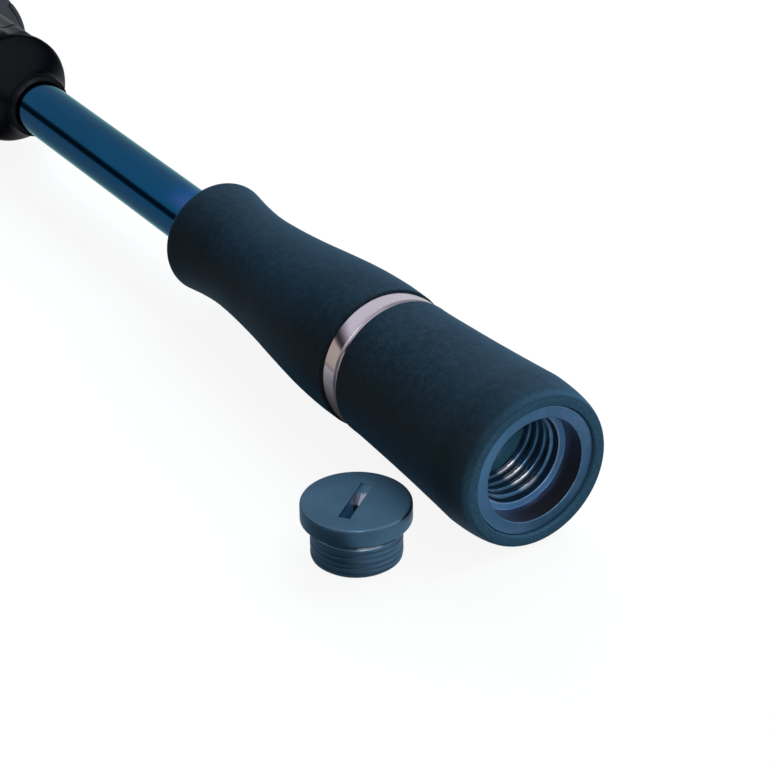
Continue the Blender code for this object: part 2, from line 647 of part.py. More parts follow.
def make_plug(material, rubber, carrier, turner):
    """The screw plug, upright: local X is its height. A disc cutter leaves a slot with a dished floor."""
    neck = HEAD_UNDERSIDE
    edge = quarter_round((PLUG_HEIGHT - HEAD_EDGE, HEAD_R), (PLUG_HEIGHT, HEAD_R - HEAD_EDGE), 3, False)
    outline = [
        (PLUG_BORE_DEPTH, 0.0), (PLUG_BORE_DEPTH, PLUG_BORE_R), (0.0, PLUG_BORE_R),
        (0.0, PLUG_FOOT_R), (PLUG_FOOT_CHAMFER, PLUG_THREAD_R),
        (SEAL_GROOVE_START, PLUG_THREAD_R), (SEAL_GROOVE_START, SEAL_GROOVE_R), (neck, SEAL_GROOVE_R),
        (neck, HEAD_R - HEAD_CHAMFER), (neck + HEAD_CHAMFER, HEAD_R), *edge, (PLUG_HEIGHT, 0.0),
    ]
    plug = piece("butt_plug", turned(outline, 28), material, turner)

    cutter_bm = bmesh.new()
    bmesh.ops.create_cone(cutter_bm, cap_ends=True, segments=32, radius1=SLOT_CUTTER_R, radius2=SLOT_CUTTER_R,
                          depth=SLOT_WIDTH, matrix=Matrix.Translation((PLUG_HEIGHT + SLOT_CUTTER_RISE, 0, 0))
                          @ Matrix.Rotation(math.radians(90), 4, "X"))
    cutter = piece("slot_cutter", cutter_bm, material, turner)
    cutter.hide_render = True
    cutter.display_type = "WIRE"
    slot = plug.modifiers.new("slot", "BOOLEAN")
    slot.operation = "DIFFERENCE"
    slot.solver = "EXACT"
    slot.object = cutter

    cord = [(SEAL_HEIGHT + SEAL_CORD_R * math.cos(a), SEAL_R + SEAL_CORD_R * math.sin(a)) for a in even_angles(6)]
    piece("plug_seal", turned(cord, 20), rubber, carrier)


def build():
    clear_scene()
    blue = finish("blue_anodised", (0.16, 0.27, 0.40), 0.35, 0.9)
    foam = finish("foam", (0.03, 0.04, 0.055), 0.85)
    copper = finish("band_metal", (0.62, 0.40, 0.36), 0.3, 1.0)
    lacquer = finish("blank_lacquer", (0.01, 0.07, 0.20), 0.12)
    black = finish("seat_black", (0.015, 0.016, 0.02), 0.35)
    dark_metal = finish("dark_metal", (0.10, 0.11, 0.13), 0.3, 1.0)
    arbor = finish("arbor_foam", (0.35, 0.33, 0.30), 0.8)
    ceramic = finish("ring_ceramic", (0.05, 0.05, 0.06), 0.15)
    winding = finish("winding", (0.01, 0.02, 0.05), 0.15)
    rubber = finish("seal_rubber", (0.02, 0.02, 0.02), 0.6)

    rod = empty("rod_line", location=(0.0, 0.0, GRIP_R))
    reel_side = empty("reel_side", rod)
    hood_slide = empty("hood_slide", reel_side)
    nut_turn = empty("nut_turn", hood_slide)
    upper = empty("upper_section", rod)
    upper_reel_side = empty("upper_reel_side", upper)
    plug_lift = empty("plug_lift", None, (PLUG_X, PLUG_Y, 0.0), (0.0, math.radians(-90), SLOT_TURN))
    plug_turn = empty("plug_turn", plug_lift)

    make_butt_cup(blue, rod)
    make_handle(foam, copper, rod)
    make_blanks(lacquer, winding, rod, upper)
    make_reel_seat(black, dark_metal, black, arbor, rod, reel_side, hood_slide, nut_turn)
    for number, (distance, diameter, height, feet) in enumerate(GUIDES, start=1):
        side = reel_side if distance * MM < JOINT_X else upper_reel_side
        make_guide(number, distance, diameter, height, feet, dark_metal, ceramic, winding, side)
    make_tip_top(dark_metal, ceramic, winding, upper_reel_side)
    make_plug(blue, rubber, plug_lift, plug_turn)
    lie_down(rod, (reel_side, upper_reel_side))
    centre_the_layout((rod, plug_lift))


build()
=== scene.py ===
"""Two-piece eging rod and its screw plug: the finished surfaces, their materials and the studio.

Every piece is made along the rod's own line, where X runs from the butt cup's face to the tip, Z is up and
the reel hangs on the -Y side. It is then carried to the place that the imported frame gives. Lengths are in
metres, or in millimetres where a comment says so, and angles in radians.
"""
import json
import math

import bmesh
import bpy
from bpy.props import FloatProperty, FloatVectorProperty, IntProperty, PointerProperty
from mathutils import Matrix, Vector

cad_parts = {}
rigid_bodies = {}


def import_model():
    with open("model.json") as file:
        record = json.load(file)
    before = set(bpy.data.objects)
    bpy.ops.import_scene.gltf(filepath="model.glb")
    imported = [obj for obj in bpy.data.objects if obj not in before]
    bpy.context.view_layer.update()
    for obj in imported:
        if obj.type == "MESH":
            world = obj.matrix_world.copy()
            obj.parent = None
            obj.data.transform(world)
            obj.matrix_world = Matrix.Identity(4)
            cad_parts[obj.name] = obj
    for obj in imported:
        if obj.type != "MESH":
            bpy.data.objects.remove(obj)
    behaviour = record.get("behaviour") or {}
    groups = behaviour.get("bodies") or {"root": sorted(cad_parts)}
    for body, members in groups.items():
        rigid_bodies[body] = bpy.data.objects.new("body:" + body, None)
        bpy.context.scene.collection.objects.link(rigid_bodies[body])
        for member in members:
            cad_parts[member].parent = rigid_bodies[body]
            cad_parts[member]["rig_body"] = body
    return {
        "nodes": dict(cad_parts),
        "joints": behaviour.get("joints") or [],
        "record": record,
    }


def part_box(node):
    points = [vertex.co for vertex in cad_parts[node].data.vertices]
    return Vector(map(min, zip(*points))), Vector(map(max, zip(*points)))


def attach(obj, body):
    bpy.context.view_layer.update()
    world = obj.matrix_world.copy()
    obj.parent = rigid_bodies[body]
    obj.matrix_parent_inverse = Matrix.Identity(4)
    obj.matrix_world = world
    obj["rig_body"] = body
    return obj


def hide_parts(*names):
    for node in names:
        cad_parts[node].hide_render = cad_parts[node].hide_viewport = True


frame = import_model()

bl_info = {
    "name": "Eging rod with screw plug",
    "version": (1, 0, 0),
    "blender": (4, 5, 0),
    "location": "View3D > Sidebar > Eging rod",
    "description": "Builds the finished rod, its plug and a studio over the packed frame",
    "category": "Object",
}

MM = 0.001
GAP = 0.15 * MM           # clearance between neighbouring pieces
TRIM_GAP = 0.12 * MM      # clearance under windings and guide feet
FULL_TURN = 2 * math.pi
NUT_MIDDLE = 190.0 * MM   # marks on the rod's line, measured from the cup's face
THREAD_END = 218.0 * MM
SWELL_START = 234.0 * MM
SWELL_LENGTH = 27.0 * MM
PLUG_TURN = math.radians(-53)
BUTT_RADIUS = 5.3         # radii in millimetres: the blank's butt, the reel seat's bore and its arbors
BARREL_BORE = 7.4
ARBOR_RADIUS = 7.25
SLOT_OF = {part["node"]: part["material_slot"] for part in frame["record"]["subparts"]}
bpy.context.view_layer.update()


# Where the rod and the plug are

def named(rows, name):
    return next(row for row in rows if row["name"] == name)


def turn_to(first, second, third):
    """The turn that carries X, Y and Z to these axes."""
    return Matrix((first, second, third)).transposed().to_4x4()


def find_places():
    """The matrices that carry the rod's own line, its reel side and the plug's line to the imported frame."""
    spin = named(frame["joints"], "nut_spin")
    along = Vector(spin["axis"]).normalized()
    if along.x < 0:
        along.negate()
    side = Vector((0, 1, 0))
    up = along.cross(side).normalized()
    rod = Matrix.Translation(Vector(spin["pos_m"]) - NUT_MIDDLE * along) @ turn_to(along, side, up)
    facing = Vector(named(frame["record"]["mounts"], "reel_foot_saddle")["axis"])
    reel = rod @ Matrix.Rotation(-math.atan2(facing.dot(up), -facing.dot(side)), 4, "X")
    low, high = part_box("butt_plug")
    base = Vector((0.5 * (low.x + high.x), 0.5 * (low.y + high.y), low.z))
    plug = Matrix.Translation(base) @ Matrix.Rotation(PLUG_TURN, 4, "Z") @ Matrix.Rotation(
        math.radians(-90), 4, "Y")
    return {"rod": rod, "reel": reel, "plug": plug}


PLACES = find_places()


# Sizes and colours

def size(name, description, millimetres):
    return FloatProperty(name=name, description=description, default=millimetres * MM, subtype="DISTANCE",
                         unit="LENGTH", precision=5, min=0.0)


def shade(name, description, colour):
    return FloatVectorProperty(name=name, description=description, default=colour, size=3, subtype="COLOR",
                               min=0.0, max=1.0)


class EGING_butt(bpy.types.PropertyGroup):
    cup_radius: size("Cup radius", "Outer radius of the butt cup's ring face", 11.0)
    counterbore_radius: size("Counterbore radius", "Radius of the recess that takes the plug's head", 8.93)
    counterbore_depth: size("Counterbore depth", "Depth of the recess that takes the plug's head", 4.4)
    ledge_radius: size("Ledge radius", "Inner radius of the ledge under the plug's head", 7.75)
    bore_depth: size("Bore depth", "Depth of the threaded bore's floor", 13.8)
    cup_length: size("Cup length", "Length of the cup's wide part", 15.4)
    neck_length: size("Neck length", "Length of the neck that holds the blank", 7.0)
    neck_radius: size("Neck radius", "Outer radius of that neck", 6.9)
    pitch: size("Thread pitch", "Distance between neighbouring turns of the thread", 2.0)
    root_radius: size("Thread root", "Radius at the bottom of the cup's thread", 7.95)
    crest_radius: size("Thread crest", "Radius at the top of the cup's thread", 7.05)


class EGING_plug(bpy.types.PropertyGroup):
    height: size("Height", "Height of the plug from its foot to its flat top", 10.0)
    head_radius: size("Head radius", "Radius of the plug's head", 8.79)
    head_underside: size("Head underside", "Height of the head's underside above the foot", 6.69)
    head_edge: size("Head edge", "Rounding of the head's top edge", 0.58)
    thread_radius: size("Thread radius", "Radius of the plug's thread at its crests", 7.29)
    thread_depth: size("Thread depth", "Height of the plug's thread", 0.10)
    groove_radius: size("Groove radius", "Radius at the bottom of the seal's groove", 6.2)
    seal_radius: size("Seal radius", "Radius of the seal ring's middle line", 6.8)
    seal_thickness: size("Seal thickness", "Thickness of the seal ring's cord", 0.9)
    foot_radius: size("Foot radius", "Radius of the plug's flat foot", 6.59)
    slot_width: size("Slot width", "Width of the slot for a coin", 1.85)
    slot_cutter: size("Slot cutter", "Radius of the disc that leaves the slot's dished floor", 5.7)
    slot_rise: size("Cutter rise", "Height of that disc's middle above the plug's top", 2.1)


class EGING_handle(bpy.types.PropertyGroup):
    grip_radius: size("Grip radius", "Widest radius of the rear grip", 13.95)
    end_radius: size("End radius", "Radius of the rear grip's flat end", 12.66)
    band_start: size("Band start", "Distance of the metal band from the cup's face", 38.2)
    band_end: size("Band end", "Distance of the band's far edge from the cup's face", 42.7)
    band_radius: size("Band radius", "Radius of the metal band", 12.15)
    band_step: size("Band step", "Height of the step along the band's rear edge", 0.3)
    sides: IntProperty(name="Sides", description="Faces around each turned piece", default=128, min=24, max=256)


class EGING_blank(bpy.types.PropertyGroup):
    butt_radius: size("Butt radius", "Radius of the blank's straight butt", BUTT_RADIUS)
    straight: size("Straight length", "Where the blank begins to taper", 180.0)
    wall: size("Wall", "Wall of the lower blank", 0.9)
    joint: size("Joint", "Distance of the joint from the cup's face", 1205.0)
    joint_radius: size("Joint radius", "Radius of the lower blank at the joint", 3.4)
    socket_radius: size("Socket radius", "Radius of the upper blank at the joint", 4.2)
    tip: size("Tip", "Distance of the blank's tip from the cup's face", 2432.0)
    tip_radius: size("Tip radius", "Radius of the blank at its tip", 0.85)


class EGING_seat(bpy.types.PropertyGroup):
    start: size("Start", "Distance of the seat's rear trim from the cup's face", 168.0)
    trim_length: size("Trim length", "Length of the flared rear trim", 13.2)
    trim_radius: size("Trim radius", "Widest radius of the rear trim", 11.2)
    end: size("End", "Distance of the seat's front end", 284.0)
    radius: size("Radius", "Radius of the seat's barrel", 9.0)
    saddle: size("Saddle flat", "Distance of the flat under the reel foot from the rod's line", 8.0)
    swell: size("Swell", "Height of the swell under the palm", 2.1)
    nut_start: size("Nut start", "Distance of the lock nut's rear face", 183.4)
    nut_length: size("Nut length", "Length of the lock nut", 13.2)
    nut_radius: size("Nut radius", "Radius of the lock nut over its lobes", 11.1)
    nut_lobes: IntProperty(name="Nut lobes", description="Grip lobes around the lock nut", default=12, min=6, max=24)
    hood_radius: size("Hood radius", "Radius of both hoods around the barrel", 10.4)
    roof_radius: size("Roof radius", "Radius of the hoods' pocket roof", 14.2)
    thread_pitch: size("Barrel pitch", "Pitch of the shallow thread under the lock nut", 1.5)


class EGING_guides(bpy.types.PropertyGroup):
    lean: FloatProperty(name="Lean", description="Angle by which the rings lean towards the tip",
                        default=math.radians(20), subtype="ANGLE", unit="ROTATION")
    ring_sides: IntProperty(name="Ring sides", description="Faces around each ring", default=64, min=16, max=128)
    tip_ring: size("Tip ring", "Diameter of the tip top's ring", 5.5)


class EGING_finishes(bpy.types.PropertyGroup):
    anodising: shade("Plug anodising", "Blue-grey anodised plug", (0.051, 0.113, 0.182))
    cup: shade("Cup anodising", "Deeper blue of the anodised cup", (0.040, 0.115, 0.216))
    raw_metal: shade("Bare metal", "Bare metal where the slot's cutter ran last", (0.66, 0.60, 0.70))
    foam: shade("Foam", "Navy-black grip foam", (0.0125, 0.0212, 0.0300))
    band: shade("Band", "Mauve-grey metal band between the grips", (0.49, 0.45, 0.53))
    lacquer: shade("Lacquer", "Blue of the blank under its clear lacquer", (0.0030, 0.048, 0.120))
    seat: shade("Seat", "Black reel seat", (0.006, 0.0065, 0.008))
    hood: shade("Hoods", "Gunmetal hoods and check", (0.060, 0.068, 0.085))
    wire: shade("Guide wire", "Smoked guide frames", (0.20, 0.21, 0.23))
    ceramic: shade("Ring inserts", "Black hard ring inserts", (0.018, 0.018, 0.021))
    thread: shade("Winding thread", "Navy thread of the windings", (0.010, 0.028, 0.070))
    rubber: shade("Seal", "Black rubber seal", (0.015, 0.015, 0.016))
    arbor: shade("Arbors", "Rigid foam inside the reel seat", (0.35, 0.33, 0.30))


class EGING_studio(bpy.types.PropertyGroup):
    key_power: FloatProperty(name="Key power", description="Power of the long overhead softbox in watts",
                             default=42.0, min=0.0)
    side_power: FloatProperty(name="Side power", description="Power of the softbox at the butt's side in watts",
                              default=2.3, min=0.0)
    front_power: FloatProperty(name="Front power", description="Power of the small softbox by the camera in watts",
                               default=1.6, min=0.0)
    glint_power: FloatProperty(name="Glint power", description="Power of the small low lamp that the bore mirrors",
                               default=0.10, min=0.0)
    fill: FloatProperty(name="Fill", description="Strength of the even light from all around", default=0.07, min=0.0)
    floor: shade("Floor", "Pale floor", (0.10, 0.10, 0.10))
    glow: FloatProperty(name="Floor glow", description="How much white the floor adds where it is seen",
                        default=0.90, min=0.0, max=1.0)


SETTINGS = (EGING_butt, EGING_plug, EGING_handle, EGING_blank, EGING_seat, EGING_guides, EGING_finishes,
            EGING_studio)


def group_name(group):
    return group.__name__.split("_")[1]


def settings(context, name):
    return getattr(context.scene, "eging_" + name)


# Node trees

class Signal:
    """An output socket that can be used in plain arithmetic."""

    def __init__(self, graph, socket):
        self.graph = graph
        self.socket = socket

    def apply(self, operation, *others):
        return self.graph.node("ShaderNodeMath", {"operation": operation}, dict(enumerate((self, *others))))

    def __add__(self, other):
        return self.apply("ADD", other)

    def __mul__(self, other):
        return self.apply("MULTIPLY", other)

    def __sub__(self, other):
        return self.apply("SUBTRACT", other)

    def __rsub__(self, other):
        return (self * -1.0) + other

    def __truediv__(self, other):
        return self.apply("DIVIDE", other)

    __radd__ = __add__
    __rmul__ = __mul__

    def sine(self):
        return self.apply("SINE")

    def cosine(self):
        return self.apply("COSINE")

    def fraction(self):
        return self.apply("FRACT")

    def size(self):
        return self.apply("ABSOLUTE")

    def power(self, exponent):
        return self.apply("POWER", exponent)

    def hypotenuse(self, other):
        return (self * self + other * other).apply("SQRT")

    def ramp(self, low, high):
        """0 at low and 1 at high, with soft ends."""
        return self.graph.node("ShaderNodeMapRange", {"interpolation_type": "SMOOTHSTEP"},
                               {"Value": self, "From Min": low, "From Max": high})

    def fade(self, low, high):
        """1 at low and 0 at high, with soft ends."""
        return 1.0 - self.ramp(low, high)

    def between(self, start, full, fall, end):
        """0 outside start and end, and 1 from full to fall."""
        return self.ramp(start, full) * self.fade(fall, end)

    def wave(self):
        """A sine of this angle, from 0 to 1."""
        return self.sine() * 0.5 + 0.5

    def output(self, name):
        return Signal(self.graph, self.socket.node.outputs[name])


class Graph:
    """A node tree that is being written."""

    def __init__(self, tree):
        self.tree = tree

    def feed(self, socket, value):
        if isinstance(value, Signal):
            self.tree.links.new(value.socket, socket)
        else:
            socket.default_value = value

    def node(self, kind, choices=None, sockets=None, output=0):
        made = self.tree.nodes.new(kind)
        for key, value in (choices or {}).items():
            setattr(made, key, value)
        for key, value in (sockets or {}).items():
            self.feed(made.inputs[key], value)
        return Signal(self, made.outputs[output])

    def tint(self, factor, low, high):
        """A colour between two, by a factor from 0 to 1."""
        mix = self.node("ShaderNodeMix", {"data_type": "RGBA"}, {"Factor": factor})
        for name, value in (("A", low), ("B", high)):
            socket = [s for s in mix.socket.node.inputs if s.name == name and s.type == "RGBA"][0]
            self.feed(socket, value if isinstance(value, Signal) else (*value, 1.0))
        return Signal(self, [s for s in mix.socket.node.outputs if s.type == "RGBA"][0])

    def noise(self, vector, scale, detail=2.0, roughness=0.5):
        return self.node("ShaderNodeTexNoise", {}, {"Vector": vector, "Scale": scale, "Detail": detail,
                                                    "Roughness": roughness})

    def vector(self, x, y, z):
        return self.node("ShaderNodeCombineXYZ", {}, {"X": x, "Y": y, "Z": z})

    def axes(self, vector):
        parts = self.node("ShaderNodeSeparateXYZ", {}, {0: vector})
        return [parts.output(axis) for axis in "XYZ"]

    def on_object(self):
        return self.node("ShaderNodeTexCoord", {}, {}, "Object")

    def rays(self):
        """1 for what the camera sees, also through glass, and 1 for what a glossy surface mirrors."""
        path = self.node("ShaderNodeLightPath")
        direct = (path.output("Is Camera Ray") + path.output("Is Transmission Ray")).apply("MINIMUM", 1.0)
        return direct, path.output("Is Glossy Ray")


def new_material(name):
    material = bpy.data.materials.new(name)
    material.use_nodes = True
    return material


class Finish(Graph):
    """A material whose pattern is laid out on one of the object's own lines."""

    def __init__(self, name, place, **constants):
        self.material = new_material(name)
        super().__init__(self.material.node_tree)
        self.shader = self.tree.nodes["Principled BSDF"]
        for key, value in constants.items():
            self.shader.inputs[key.replace("_", " ")].default_value = value
        back = place.inverted()
        self.point = self.node("ShaderNodeMapping", {}, {
            "Vector": self.on_object(), "Location": back.translation, "Rotation": back.to_euler()})
        self.x, self.y, self.z = self.axes(self.point)
        self.radius = self.y.hypotenuse(self.z)

    def colour(self, value):
        self.feed(self.shader.inputs["Base Color"], value if isinstance(value, Signal) else (*value, 1.0))

    def roughness(self, value):
        self.feed(self.shader.inputs["Roughness"], value)

    def metallic(self, value):
        self.feed(self.shader.inputs["Metallic"], value)

    def lower_left(self):
        """How far a point lies on the lower left side, from -1 to 1."""
        return (self.y * 0.92 - self.z * 0.39) / self.radius

    def bump(self, height, distance, strength=1.0):
        """Height from 0 to 1 over a real distance in metres."""
        normal = self.node("ShaderNodeBump", {}, {"Height": height, "Distance": distance, "Strength": strength})
        self.feed(self.shader.inputs["Normal"], normal)


def turning_lines(finish, spacing):
    """Fine tool marks that run round the turned faces, uneven in depth."""
    wander = finish.noise(finish.vector(finish.x, finish.radius, 0.0), 2600.0, 3.0, 0.7)
    lines = ((finish.x + finish.radius) * (FULL_TURN / spacing)).wave()
    return lines * 0.35 + wander * 0.65


def scaled(colour, factor):
    return tuple(min(1.0, factor * channel) for channel in colour)


def anodised(name, place, metal, **constants):
    """The start of both anodised finishes: clouded colour, the thread's valleys, tool marks and scuffs."""
    finish = Finish(name, place, IOR=1.45, **constants)
    cloud = finish.noise(finish.point, 120.0, 3.0)
    colour = finish.tint(cloud.ramp(0.3, 0.7), scaled(metal, 0.90), scaled(metal, 1.10))
    valley = finish.node("ShaderNodeAttribute", {"attribute_name": "valley"}, {}, "Fac")
    scuffs = finish.noise(finish.point, 900.0, 4.0, 0.7).ramp(0.46, 0.66)
    return finish, colour, cloud, valley, turning_lines(finish, 0.11 * MM), scuffs


def cup_anodising(place, colours):
    """The cup's finish: worn rims and crests, painted shade on the counterbore wall and in the dark valleys, and
    painted light on the ledge and a plainer bore floor.

    left, inner_edge and glint are painted light. They stay at one place when the lamps move.
    """
    metal = colours.cup
    finish, colour, _, valley, lines, scuffs = anodised("cup_anodising", place, metal)
    streaks = finish.noise(finish.vector(
        finish.y / finish.radius * (2.5 * MM), finish.z / finish.radius * (2.5 * MM),
        finish.radius * 3.0), 900.0, 3.0, 0.6).ramp(0.48, 0.68)
    face = finish.x.fade(0.0, 0.1 * MM)
    left = (finish.y / finish.radius).ramp(0.3, 1.0) * face
    colour = finish.tint(left * 0.5, colour, scaled(metal, 1.45))
    bloom = finish.noise(finish.point, 240.0, 2.0).ramp(0.48, 0.66) * face
    colour = finish.tint(bloom * 0.35, colour, (0.085, 0.125, 0.270))
    bore = finish.radius.fade(8.96 * MM, 9.03 * MM)
    # Painted shade: the counterbore wall gets a greyer tint that stands in for the shade in the recess.
    wall = bore * finish.x.ramp(0.1 * MM, 0.5 * MM) * finish.x.fade(4.1 * MM, 4.38 * MM)
    colour = finish.tint(wall, colour, (0.108, 0.102, 0.132))
    # Painted light: the ledge gets a blue about three times as bright as the cup's metal, with pale streaks.
    ledge = bore * finish.x.ramp(4.34 * MM, 4.38 * MM) * finish.x.fade(4.5 * MM, 4.6 * MM)
    upper_right = ((finish.z - finish.y) / finish.radius).ramp(-0.6, 1.1)
    inner_edge = ledge * finish.radius.fade(7.80 * MM, 7.95 * MM) * (0.25 + 0.75 * upper_right)
    colour = finish.tint(ledge * (0.85 + 0.15 * streaks), colour, (0.128, 0.345, 0.690))
    colour = finish.tint(ledge * streaks * 0.32 + inner_edge * 0.6, colour, (0.45, 0.55, 0.65))
    # Painted shade: the thread's valleys are tinted almost black.
    colour = finish.tint(valley * 0.97, colour, (0.001, 0.002, 0.004))
    thread = bore * finish.x.ramp(5.4 * MM, 5.8 * MM) * finish.x.fade(13.4 * MM, 13.7 * MM)
    crest = thread * (1.0 - valley).power(4.0)
    colour = finish.tint(crest * (0.10 + 0.20 * scuffs), colour, (0.20, 0.34, 0.50))
    glint = ((finish.y * -0.42 - finish.z * 0.91) / finish.radius).ramp(0.960, 0.998)
    colour = finish.tint(crest * glint * (0.30 + 0.60 * finish.x.ramp(6.6 * MM, 8.0 * MM)), colour, (0.90, 0.86, 0.87))
    # Painted light: the bore floor gets a lighter blue than the cup's metal.
    floor = bore * finish.x.ramp(13.6 * MM, 13.75 * MM) * finish.x.fade(14.6 * MM, 15.0 * MM)
    colour = finish.tint(floor, colour, (0.075, 0.245, 0.380))
    rims = finish.radius.ramp(10.75 * MM, 10.95 * MM) + finish.radius.fade(8.95 * MM, 9.08 * MM)
    worn = rims * finish.x.fade(0.05 * MM, 0.25 * MM) * (0.25 + 0.75 * scuffs)
    finish.colour(finish.tint(worn * 0.5, colour, (0.30, 0.40, 0.52)))
    finish.metallic(0.85 - 0.75 * floor - 0.55 * ledge)
    finish.roughness(0.24 + 0.16 * lines)
    finish.bump(lines, 0.006 * MM, 0.8)
    return finish.material


def plug_anodising(place, colours):
    """The plug's finish: a side darkened as painted shade, valleys darkened as painted shade, fine marks along its
    thread, and a slot worn bare at one end.

    facing, near_end and soot are painted light and shade. They stay at one place when the lamps move.
    """
    metal = colours.anodising
    finish, colour, cloud, valley, lines, scuffs = anodised("plug_anodising", place, metal,
                                                            Specular_Tint=(0.70, 0.82, 0.95, 1.0))
    # Painted shade: the head's side is tinted darker.
    side = finish.radius.ramp(8.55 * MM, 8.75 * MM) * finish.x.fade(9.55 * MM, 9.95 * MM)
    colour = finish.tint(side * 0.10, colour, scaled(metal, 0.45))
    below = finish.x.fade(5.2 * MM, 5.5 * MM)
    turn = finish.y.apply("ARCTAN2", finish.z) * (1.0 / FULL_TURN)
    marks = ((finish.x / (0.95 * MM) - turn * 2.0) * FULL_TURN).wave()
    marks = marks.power(2.0) * (0.55 + 0.45 * cloud.ramp(0.35, 0.65))
    colour = finish.tint(below * marks * 0.70, colour, scaled(metal, 0.30))
    # Painted shade: the thread's valleys are tinted darker.
    colour = finish.tint(valley * 0.15, colour, scaled(metal, 0.25))
    shoulder = finish.x.between(5.26 * MM, 5.32 * MM, 5.7 * MM, 5.8 * MM)
    edge = finish.radius.ramp(8.30 * MM, 8.62 * MM) * finish.x.ramp(9.55 * MM, 9.85 * MM)
    colour = finish.tint(edge * 0.14 * (0.4 + 0.6 * scuffs), colour, (0.34, 0.44, 0.56))
    facing = ((finish.z * 0.78 - finish.y * 0.62) / finish.radius).ramp(0.94, 0.99)
    colour = finish.tint(shoulder * (0.05 + 0.85 * facing), colour, (0.60, 0.70, 0.80))
    # Painted light: the slot gets lighter blues than the metal, and near_end grades them along it.
    along = finish.z * -1.0
    slot = finish.y.size().fade(0.96 * MM, 1.00 * MM) * finish.radius.fade(5.5 * MM, 5.7 * MM)
    slot = slot * finish.x.fade(9.5 * MM, 9.8 * MM)
    near_end = along.fade(-1.0 * MM, 3.0 * MM)
    colour = finish.tint(slot, colour, finish.tint(near_end, (0.070, 0.170, 0.270), (0.045, 0.140, 0.280)))
    ragged = finish.noise(finish.point, 1400.0, 3.0, 0.6) * (0.9 * MM) + along
    bare = slot * ragged.ramp(2.9 * MM, 3.2 * MM) * ragged.fade(4.7 * MM, 5.0 * MM)
    bare = bare * finish.y.fade(0.80 * MM, 0.88 * MM)
    colour = finish.tint(bare, colour, colours.raw_metal)
    # Painted shade: a near-black spot on the slot's floor stands in for shadow.
    painted_shade_spot = slot * (along - 2.0 * MM).size().fade(0.70 * MM, 1.00 * MM) * finish.y.ramp(-0.4 * MM, -0.1 * MM)
    finish.colour(finish.tint(painted_shade_spot, colour, (0.002, 0.003, 0.002)))
    finish.metallic(0.92 - 0.62 * slot)
    top = finish.x.ramp(9.85 * MM, 9.95 * MM)
    finish.roughness(0.24 + 0.16 * lines + 0.16 * top)
    finish.bump(lines * 0.4 + below * marks * 0.6, 0.012 * MM, 0.8)
    return finish.material


def grip_foam(name, place, colours):
    """Mottled closed-cell foam with pits. Painted light: cut lightens the grip's end face and its rounding, ends
    lightens the rear grip towards the butt and the front grip's nose, and forward darkens the front grip against the
    rear grip. low and the last factor of cut are painted shade.
    """
    finish = Finish(name, place, Sheen_Weight=0.17, Sheen_Roughness=0.45, IOR=1.12,
                    Sheen_Tint=(0.05, 0.50, 1.0, 1.0), Specular_Tint=(0.50, 0.68, 0.85, 1.0))
    grain = finish.noise(finish.point, 2300.0, 3.0, 0.65)
    pores = finish.node("ShaderNodeTexVoronoi", {"feature": "F1"}, {"Vector": finish.point, "Scale": 1500.0})
    pits = pores.fade(0.05, 0.42)
    patches = finish.noise(finish.point, 110.0, 2.0, 0.5)
    blotches = finish.noise(finish.point, 750.0, 2.0, 0.5)
    mottle = (grain * 0.45 + patches * 0.25 + blotches * 0.40).ramp(0.42, 0.70)
    # Painted light and shade: the foam is tinted 0.8 as bright from 30 to 60 mm on, so the rear grip reads lighter
    # than the front grip.
    forward = finish.x.ramp(30.0 * MM, 60.0 * MM)
    colour = finish.tint(mottle, *(finish.tint(forward, scaled(colours.foam, high), scaled(colours.foam, 0.80 * high))
                                   for high in (0.66, 1.38)))
    colour = finish.tint(pits * 0.35, colour, scaled(colours.foam, 0.45))
    low = finish.lower_left().ramp(0.35, 0.95)
    colour = finish.tint(low * 0.75, colour, (0.0170, 0.0155, 0.0105))
    # Painted light: the rear grip towards the butt and the front grip's nose are tinted lighter.
    ends = finish.x.fade(2.0 * MM, 28.0 * MM) + finish.x.ramp(84.0 * MM, 98.0 * MM)
    colour = finish.tint(ends * 0.18, colour, scaled(colours.foam, 2.4))
    # Painted light: the end face and its rounding get a lighter blue; the last factor takes some off the top rounding
    # as painted shade.
    cut = finish.x.fade(-0.1 * MM, 1.3 * MM) * 0.75 + finish.x.fade(0.8 * MM, 5.0 * MM) * 0.25
    cut = cut * (1.0 - 0.6 * (finish.z / finish.radius).ramp(-0.1, 0.6) * finish.radius.ramp(12.55 * MM, 12.80 * MM))
    colour = finish.tint(cut * (0.70 + 0.30 * grain.ramp(0.35, 0.65)), colour, (0.056, 0.145, 0.235))
    finish.colour(colour)
    finish.roughness(0.52 + 0.16 * patches)
    finish.bump(grain * 0.6 + (1.0 - pits) * 0.4, 0.04 * MM, 0.6)
    return finish.material


def polished_band(name, place, colours):
    """Turned and polished metal with a rougher line along its step that is darkened as painted shade, and the strip
    before the step tinted darker as painted shade. low is painted shade.
    """
    finish = Finish(name, place, Metallic=1.0)
    lines = turning_lines(finish, 0.09 * MM)
    cloud = finish.noise(finish.point, 90.0).ramp(0.3, 0.7)
    colour = finish.tint(cloud, scaled(colours.band, 0.88), colours.band)
    # Painted shade: the strip before the step is tinted darker.
    colour = finish.tint(finish.x.fade(39.00 * MM, 39.10 * MM), colour, scaled(colours.band, 0.80))
    low = finish.lower_left().ramp(0.55, 0.95)
    colour = finish.tint(low * 0.5, colour, scaled(colours.band, 0.45))
    # Painted shade: the step's line is tinted darker; its extra roughness is a real duller finish.
    step = (finish.x - 39.25 * MM).size().fade(0.10 * MM, 0.22 * MM)
    finish.colour(finish.tint(step * 0.75, colour, scaled(colours.band, 0.30)))
    finish.roughness(0.10 + 0.08 * lines + 0.20 * step)
    finish.bump(lines, 0.004 * MM, 0.6)
    return finish.material


